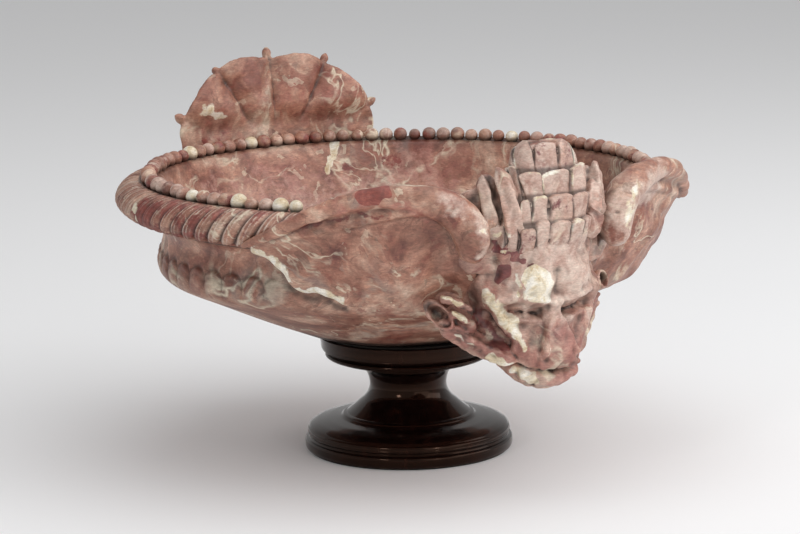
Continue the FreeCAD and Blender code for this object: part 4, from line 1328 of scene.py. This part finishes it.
    @staticmethod
    def patches() -> Patches:
        """Patches of the face: white brow, cheek and chin, painted shade in the gaps and lines, rosy jaw
        and ruddy temple.
        """
        return {
            "pale": [Stroke(((0, -275, 335), (0, -285, 250), (0, -285, 222)), 60, 0.85),
                     Stroke(((60, -258, 265), (60, -258, 310)), 22, 0.7, both=True),
                     Stroke(((36, -280, 190), (50, -268, 170)), 12, 0.6)],
            "cream": [Stroke(((-18, -291, 208), (-25, -289, 221)), 15.5, 1.0, Profile.FLAT),
                      Stroke(((-33, -284, 215), (-37, -281, 206)), 6, 0.8),
                      Stroke(((-54, -261, 196), (-45, -269, 177)), 9, 0.85),
                      Stroke(((-58, -256, 204), (-47, -268, 181), (-34, -279, 157)), 8.5, 0.76),
                      Stroke(((-101, -240, 206), (-84, -250, 200)), 4, 0.75),
                      Stroke(((-92, -242, 192), (-80, -249, 184)), 4, 0.75),
                      Stroke(((-52, -252, 143), (-38, -264, 132), (-22, -270, 123)), 9, 0.8),
                      Stroke(((-88, -235, 170), (-72, -245, 158)), 3.0, 0.7),
                      Stroke(((-54, -260, 246), (-43, -269, 248)), 5, 0.62),
                      Stroke(((-41, -274, 224), (-38, -278, 212)), 5, 0.6),
                      Stroke(((-44, -268, 262), (-54, -262, 262)), 7, 0.6),
                      Stroke(((-13, -290, 186), (-17, -292, 162), (-18, -291, 150)), 1.8, 0.55)],
            # Painted shade: holes between the locks, the crevice between cheek and wing, lines between the
            # locks of fur, the ear holes and the line under the brow.
            "hollow": [Stroke(((-49, -256, 278), (-54, -252, 316)), 5, 1.0),
                       Stroke(((-55, -252, 286), (-57, -250, 314)), 5, 1.0),
                       Stroke(((-68, -246, 268), (-70, -244, 296)), 8, 1.0),
                       Stroke(((-72, -244, 282), (-80, -240, 292)), 5, 1.0),
                       Stroke(((-70, -240, 206), (-66, -242, 190), (-58, -249, 173), (-50, -258, 160)),
                              9, 0.8),
                       Stroke(((-88, -245, 197), (-76, -250, 189)), 2.2, 0.9),
                       Stroke(((-92, -238, 184), (-80, -244, 177)), 2.2, 0.9),
                       Stroke(((-104, -228, 193), (-92, -230, 180)), 6, 0.62),
                       Stroke(((-106, -228, 197),), 6, 1.0),
                       Stroke(((-82, -236, 174), (-66, -246, 163), (-51, -258, 155)), 2.8, 0.85),
                       Stroke(((-83, -237, 162), (-67, -247, 151), (-52, -259, 143)), 2.5, 0.75),
                       Stroke(((-97, -229, 181), (-84, -237, 170), (-72, -244, 162)), 2.5, 0.75),
                       Stroke(((-35, -283, 200), (-21, -288, 197), (-7, -291, 196)), 2.6, 0.8),
                       Stroke(((70, -243, 204),), 6, 0.9)],
            "rosy": [Stroke(((-86, -236, 176), (-66, -249, 160), (-46, -269, 149), (-20, -287, 143)),
                            15, 0.9),
                     Stroke(((8, -294, 178), (6, -296, 148)), 14, 0.75),
                     Stroke(((-30, -285, 180), (-36, -282, 170)), 13, 0.7),
                     Stroke(((-60, -254, 226), (-58, -258, 210)), 12, 0.6),
                     Stroke(((30, -280, 146), (40, -270, 156)), 14, 0.7),
                     Stroke(((-2, -280, 119), (16, -280, 123), (30, -274, 130)), 9, 0.9)],
            "ruddy": [Stroke(((-48, -265, 232), (-51, -262, 221)), 7, 1.0, Profile.FLAT),
                      Stroke(((-54, -258, 252), (-44, -270, 245), (-30, -281, 235)), 5, 1.0, Profile.FLAT),
                      Stroke(((-62, -244, 184), (-55, -252, 170), (-47, -260, 159)), 10, 0.95),
                      Stroke(((-70, -248, 168), (-52, -264, 156)), 4, 0.5)]}

    def build(self) -> None:
        """Join head and trimmings into one carved skin and dress it."""
        mask = self.carving.carve("marble_mask", [self.head()] + self.trimmings(), self.patches())
        dress(mask, self.finish, Body.BASIN, ("mask",))


@dataclass
class Headdress:
    """Tall headdress with rows of upright plates that overlap the row above, in millimetres."""

    finish: bpy.types.Material
    samples: tuple[int, int] = (240, 280)
    powers: tuple[float, float] = (0.7, 0.7)
    wear: tuple[float, float] = (0.35, 8)
    # Height, half-width, front, middle and back along Y, and middle along X of each level.
    levels: Knots = (
        (236, 40, -268, -250, -232, 0), (246, 46, -276, -250, -233, 0), (262, 47, -281, -250, -234, 1),
        (286, 45, -279, -250, -236, 3), (309, 39, -273, -250, -238, 5), (328, 31, -267, -250, -240, 6),
        (338, 25, -263, -250, -242, 5), (343, 17, -259, -250, -245, 4))
    # Foot of each row and the edges of its plates, as the way round from the middle line.
    rows: tuple[tuple[float, tuple[float, ...]], ...] = (
        (236, (-75, -61, -50, -38, -22, -8, 14, 30, 45, 58, 75)),
        (272, (-75, -59, -47, -36, -25, -8, 19, 43, 58, 75)),
        (297, (-70, -54, -43, -31, -10, 21, 45, 70)),
        (320, (-60, -44, -35, -14, 11, 30, 45, 60)))
    seed: int = 3
    lip: float = 5.0
    joint: float = 2.2
    joint_width: float = 0.9
    # Sway of a plate's edge, spread of the heads and faces, and drop of a head's two corners.
    sway: float = 1.5
    head_spread: float = 2.0
    face_spread: float = 0.9
    corner_drop: tuple[float, float] = (5.0, 2.0)

    def relief(self, way: np.ndarray, height: np.ndarray) -> tuple[np.ndarray, ...]:
        """Carving of the plates.

        Within a plate the face rises from its foot to its lip, which is arched and
        rounded over, and falls off into the joints on both sides. Lower rows hide
        the feet of upper ones.

        Args:
            way: Way round the face from the middle line.
            height: Height above the floor.

        Returns:
            Rise along the normal, share of dark joints and painted shade, a number for each plate and a
            painted highlight near the lip and the start edge.
        """
        rng = np.random.default_rng(self.seed)
        rise, dirt_and_shade, tint, lip_highlight = (np.zeros_like(way) for _ in range(4))
        heads = [foot for foot, _ in self.rows[1:]] + [self.levels[-1][0] + 2]
        for (foot, edges), head in reversed(list(zip(self.rows, heads))):
            stops = np.array(edges, float)
            plate = np.clip(np.searchsorted(stops, way) - 1, 0, len(stops) - 2)
            start, stop = stops[plate] + self.sway * np.sin(height / 7 + plate), stops[plate + 1]
            across = np.clip((way - start) / (stop - start), 0, 1)
            top = head + (self.head_spread * rng.standard_normal(len(stops)))[plate]
            top = top - self.corner_drop[0] * (1 - across) ** 6 - self.corner_drop[1] * across ** 8
            share = np.clip((height - foot) / (top - foot), 0, 1)
            edge = np.minimum(np.abs(way - start), np.abs(stop - way))
            face = self.lip * share ** 1.3 + (self.face_spread * rng.standard_normal(len(stops)))[plate]
            face = face * np.sqrt(np.clip((top - height) / 2, 0, 1))
            face = face - self.joint * bell(edge, self.joint_width)
            own = height < top
            rise = np.where(own, face, rise)
            # Dark joints, and painted shade on the feet of upper rows just above the lip of the row below.
            under = ease(0.2, 0.02, share) * (foot > self.rows[0][0])
            dirt_and_shade = np.where(own, bell(edge, 1.2) * ease(0.0, 0.4, share) + 0.8 * under, dirt_and_shade)
            tint = np.where(own, rng.random(len(stops))[plate], tint)
            # Painted highlight near each plate's lip and its start edge.
            lip_highlight = np.where(own, np.maximum(ease(7, 1, top - height), ease(5, 1, way - start)), lip_highlight)
        return rise, dirt_and_shade, tint, lip_highlight

    def build(self) -> None:
        """Carry egg-shaped level sections up the headdress, carve the plates and dress them."""
        points, normal, way, height = eggs(self.levels, *self.samples, self.powers)
        rise, dirt_and_shade, tint, lip_highlight = self.relief(way, height)
        carved = (points + normal * rise[..., None]) * MM
        crest = make_piece("marble_headdress", [Surface(carved, flip=True)])
        weather(crest, *self.wear)
        # Cream near the lips is a painted highlight; hollow holds dark joints and painted shade under the
        # lips.
        layers = {"hollow": dirt_and_shade, "pale": 0.45 + 0.3 * tint, "ruddy": 0.36 * (tint < 0.3),
                  "cream": 0.2 * (tint > 0.6) + 0.29 * lip_highlight}
        for name, values in layers.items():
            put_attribute(crest.data, name, np.r_[values.ravel(), 0, 0])
        dress(crest, self.finish, Body.BASIN)


@dataclass
class TailFan:
    """Fan on the back of the rim: lobes billow forward between ribs with knobs, in millimetres."""

    finish: bpy.types.Material
    carving: Carving = Carving(1.6, 2, (0.45, 12), (0.6, 4.0))
    samples: tuple[int, int] = (260, 90)
    radius: float = 124.0
    shoulder: float = 9.0
    waist: float = 15.0
    root_radius: float = 14.0
    root_height: float = 254.0
    flat_rise: float = 47.0
    billow_rise: float = 74.0
    rib_angle: float = 30.5
    ribs: int = 5
    rib_samples: int = 60
    side_angle: float = 83.0
    half_thickness: float = 4.6
    set_back: float = 3.0
    billow: float = 12.0
    scallop: float = 4.5
    scallop_cut: float = 4.0
    lean: float = 11.0
    plan_radius: float = 450.0
    knob_reach: float = 8.5
    lost_knob: int = 1

    def __post_init__(self) -> None:
        """Read from the frame where the dowels stand, which the sheet hides."""
        low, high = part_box("fan_dowels")
        reach = (high.x - (high.y - low.y) / 2) / MM
        rise = (low.z + high.z) / 2 / MM - self.root_height
        bend = reach ** 2 / (4 * self.plan_radius) - self.lean * rise / self.radius
        self.front = (low.y + high.y) / 2 / MM - self.half_thickness - self.set_back + bend

    def place(self, angle: np.ndarray, reach: np.ndarray, depth: np.ndarray) -> np.ndarray:
        """Points of the fan, bent round with the rim and leaning back with height."""
        across, rise = reach * np.sin(angle), reach * np.cos(angle)
        back = self.front + depth - across ** 2 / (2 * self.plan_radius) + self.lean * rise / self.radius
        return np.stack([across, back, self.root_height + rise], axis=-1) * MM

    def edge(self, angle: np.ndarray) -> np.ndarray:
        """Reach of the edge, which grows from the middle to the shoulders and shrinks below them."""
        away, step = np.abs(angle), math.radians(self.rib_angle)
        grown = self.shoulder * ease(0.0, step, away)
        return self.radius + grown - self.waist * ease(2 * step, math.radians(self.side_angle), away)

    def web(self) -> Surface:
        """Closed sheet: reach runs out along the front and home along the back of each angle."""
        side, step = math.radians(self.side_angle), math.radians(self.rib_angle)
        angle = np.linspace(-side, side, self.samples[0])[:, None]
        share = (1 - np.cos(np.linspace(0, np.pi, self.samples[1])))[None] / 2
        past = np.abs(angle) - 2 * step
        wave = np.abs(np.sin(np.pi * angle / step))
        wave = np.where(np.abs(angle) > 2 * step, np.sin(np.pi / 2 * past / (side - 2 * step)), wave)
        edge = self.edge(angle) - self.scallop_cut + self.scallop * wave ** 0.7
        reach = self.root_radius + (edge - self.root_radius) * share
        swell = -self.billow * wave ** 0.55 * np.sin(np.pi * np.minimum(share * 0.62 + 0.12, 1)) ** 0.8
        swell = swell * ease(self.flat_rise, self.billow_rise, reach * np.cos(angle))
        half = self.half_thickness * (1 - np.abs(2 * share - 1) ** 16) ** 0.5 * (1.85 - 1.1 * share)
        middle = swell + (self.half_thickness + self.set_back)
        faces = (self.place(angle, reach, middle + side * half) for side in (-1, 1))
        return lens(*faces, True)

    def rib(self, index: int) -> Surface:
        """Rib on the back of the sheet, ending in a knob unless that is lost."""
        angle = math.radians(self.rib_angle * (index - (self.ribs - 1) / 2))
        rim = float(self.edge(angle))
        end = rim + (0 if index == self.lost_knob else self.knob_reach)
        reach = np.linspace(self.root_radius, end, self.rib_samples)
        depth = np.full(self.rib_samples, self.half_thickness + 5.0)
        width = np.interp(reach, [0, rim - 8, rim + 2, end], [5.5, 4.2, 5.2, 3.0])
        width *= np.sqrt(np.clip((end + 0.6 - reach) / 4, 0.02, 1))
        return tube(self.place(np.full(self.rib_samples, angle), reach, depth), width * MM, 20)

    def build(self) -> None:
        """Join the sheet, the ribs on its back and the knobs, and dress them."""
        parts = [self.web()] + [self.rib(index) for index in range(self.ribs)]
        fan = self.carving.carve("marble_fan", parts, {
            "cream": [Stroke(((-86, 266, 326), (-68, 266, 312), (-54, 268, 302)), 10, 0.8)],
            "pale": [Stroke(((-20, 262, 352), (-14, 262, 320)), 14, 0.5)],
            "rosy": [Stroke(((-70, 266, 300), (0, 264, 330), (70, 266, 330)), 50, 0.44)],
            "ruddy": [Stroke(((-86, 270, 296), (-66, 272, 296)), 12, 0.6)]})
        dress(fan, self.finish, Body.BASIN, ("tail_fan",))


@dataclass
class Socle:
    """Turned socle of foot, stem and cap; profiles give radius and height in millimetres."""

    wood: bpy.types.Material
    felt: bpy.types.Material
    iron: bpy.types.Material
    foot: Knots = (
        (0, 1.5), (104.5, 1.5), (106.5, 3.5), (106.5, 12.6), (102.2, 13.2), (102.2, 16.2),
        (103.4, 16.6), (104.2, 20.5), (101.6, 25.8), (94, 29.4), (82, 32.2), (68.6, 34), (67.6, 36.6),
        (64.8, 38.4), (0, 38.4))
    stem: Knots = (
        (24, 38.0), (63.6, 38.2), (60.6, 40.4), (55.6, 44.4), (50.0, 49.2), (45.2, 53.4), (41.4, 59.0),
        (39.4, 66.0), (40.0, 73.0), (42.4, 79.6), (46.6, 84.0), (51.6, 86.4), (24, 86.5))
    cap: Knots = (
        (0, 86.5), (52.8, 86.5), (54.0, 87.6), (54.0, 89.0), (57.2, 89.6), (57.6, 91.0), (61.5, 91.4),
        (71, 93.2), (76.4, 93.6), (77.0, 94.8), (80.6, 95.2), (84.4, 97.4), (84.6, 100.0),
        (81.4, 101.4), (81.4, 103.2), (86.6, 103.6), (88.6, 106.6), (88.8, 112), (90.2, 118),
        (91.0, 119.5), (0, 119.5))
    around: int = 220
    # Reach of the softened corners of foot and cap.
    foot_soft: float = 3.0
    cap_soft: float = 2.2

    def lathe(self, name: str, profile: Knots, radius: float) -> bpy.types.Object:
        """Profile carried round the upright axis, with softened corners or, for no radius, smooth."""
        sweep = np.vstack([profile[:1], curve(profile[1:-1], 90), profile[-1:]])
        rows = rounded(profile, radius) if radius else sweep
        rows = rows[1:-1] if rows[0, 0] == 0 else rows
        turn = np.linspace(0, 2 * np.pi, self.around, endpoint=False)[None]
        reach, height = rows[:, :1], rows[:, 1:]
        grid = np.stack([reach * np.cos(turn), reach * np.sin(turn), height + 0 * turn], -1) * MM
        return make_piece(name, [Surface(grid)])

    def build(self) -> None:
        """Turn the three pieces of wood and dress the felts and the irons of the frame."""
        for node, profile, radius in (("socle_foot", self.foot, self.foot_soft),
                                      ("socle_stem", self.stem, 0.0),
                                      ("socle_cap", self.cap, self.cap_soft)):
            turned = self.lathe("turned_" + node, profile, radius)
            dress(turned, self.wood, Body.SOCLE, (node,))
        slots = {part["node"]: part["material_slot"] for part in frame["record"]["subparts"]}
        for node, kept in frame["nodes"].items():
            finish = {"felt": self.felt, "iron": self.iron}.get(slots[node])
            if finish is not None:
                kept.data.materials.clear()
                kept.data.materials.append(finish)


@dataclass
class Studio:
    """Pale floor, soft light from the right and the camera at the picture's angle."""

    distance: float = 2.9
    azimuth: float = -30.0
    height: float = 0.72491
    pitch: float = 10.51
    roll: float = -0.88
    focal_px: float = 2894.3
    centre_px: float = 406.34
    image: tuple[int, int] = (800, 534)
    sensor: float = 36.0
    floor_code: str = "f2f2f3"
    floor_reach: float = 12.0
    room_code: str = "c5c5c5"
    room_light: float = 0.88
    # Where the lamps look.
    target: tuple[float, float, float] = (0, 0, 0.22)

    def floor(self) -> None:
        """Wide pale floor."""
        ends = (-self.floor_reach, self.floor_reach)
        grid = np.array([[(x, y, 0) for y in ends] for x in ends], float)
        plane = make_piece("studio_floor", [Surface(grid, wrap_v=False, caps=False, flip=True)])
        paper = bpy.data.materials.new("matt_studio_paper")
        paper.use_nodes = True
        tree = paper.node_tree
        wire(tree, tree.nodes["Principled BSDF"], {"Base Color": linear(self.floor_code), "Roughness": 0.9})
        plane.data.materials.append(paper)

    def lamp(self, name: str, place: tuple[float, float, float], size: float, watts: float) -> None:
        """Square soft lamp that looks at the basin."""
        data = bpy.data.lights.new(name, "AREA")
        data.energy = watts
        data.size = size
        light = bpy.data.objects.new(name, data)
        light.location = place
        light.rotation_euler = (Vector(self.target) - light.location).to_track_quat("-Z", "Y").to_euler()
        bpy.context.scene.collection.objects.link(light)

    def lights(self) -> None:
        """Wide lamps from the right, the front and above, two small ones for glints, and a grey room."""
        self.lamp("key_softbox", (2.3, -1.7, 2.0), 2.6, 33.0)
        self.lamp("front_softbox", (0.6, -3.2, 1.7), 3.0, 29.0)
        self.lamp("top_softbox", (0.4, -0.4, 2.7), 3.0, 30.0)
        self.lamp("left_spark", (-2.3, -1.4, 1.25), 0.42, 7.0)
        self.lamp("right_spark", (0.1, -3.1, 1.1), 0.26, 4.0)
        world = bpy.data.worlds.new("grey_room")
        world.use_nodes = True
        tree = world.node_tree
        wire(tree, tree.nodes["Background"], {"Color": linear(self.room_code), "Strength": self.room_light})
        bpy.context.scene.world = world

    def camera(self) -> None:
        """Long lens at the measured place, with its small roll and sideways shift."""
        data = bpy.data.cameras.new("studio_camera")
        data.sensor_width = self.sensor
        data.lens = self.focal_px * self.sensor / self.image[0]
        data.shift_x = (self.image[0] / 2 - self.centre_px) / self.image[0]
        data.clip_end = 60
        turn = math.radians(self.azimuth)
        camera = bpy.data.objects.new("studio_camera", data)
        camera.location = (self.distance * math.sin(turn), -self.distance * math.cos(turn), self.height)
        tilt = math.radians(self.pitch)
        way = Vector((-math.sin(turn) * math.cos(tilt), math.cos(turn) * math.cos(tilt), -math.sin(tilt)))
        camera.rotation_mode = "QUATERNION"
        lean = Quaternion((0, 0, 1), math.radians(self.roll))
        camera.rotation_quaternion = way.to_track_quat("-Z", "Y") @ lean
        bpy.context.scene.collection.objects.link(camera)
        bpy.context.scene.camera = camera

    def build(self) -> None:
        """Set up floor, lights, camera and the view transform."""
        self.floor()
        self.lights()
        self.camera()
        bpy.context.scene.view_settings.view_transform = "Standard"


def main() -> None:
    """Build the pieces in order."""
    logging.basicConfig(level=logging.INFO, format="%(message)s")
    stone = Marble(
        "red_breccia_marble",
        ((0.31, "6a3b33"), (0.42, "90604f"), (0.53, "ab7d69"), (0.63, "c6a28d"), (0.72, "dcc6b2")),
        ruddy_stops=((0.34, "5e2722"), (0.5, "823c34"), (0.66, "9d564a"))).build()
    fair = Marble(
        "pale_rose_marble",
        ((0.31, "764640"), (0.42, "9d7265"), (0.53, "b79080"), (0.63, "cfb09f"), (0.72, "e2cfbe")),
        rosy_stops=((0.34, "865047"), (0.5, "a46d61"), (0.66, "bf9184")), vein_bar=0.64).build()
    wood = PolishedHardwood().build()
    felt = PlainGrit("pressed_wool_felt", ((0.3, "171311"), (0.7, "2b241f")), 0.8, 0.95).build()
    iron = PlainGrit("wrought_iron", ((0.3, "2b2928"), (0.7, "4a4643")), 1.5, 0.6, 0.9).build()
    bowl = Bowl(stone)
    bowl.build()
    for side in Side:
        Wing(side, stone, bowl.axis).build()
    Mask(fair).build()
    Headdress(fair).build()
    TailFan(stone).build()
    Socle(wood, felt, iron).build()
    Studio().build()


if __name__ == "__main__":
    main()
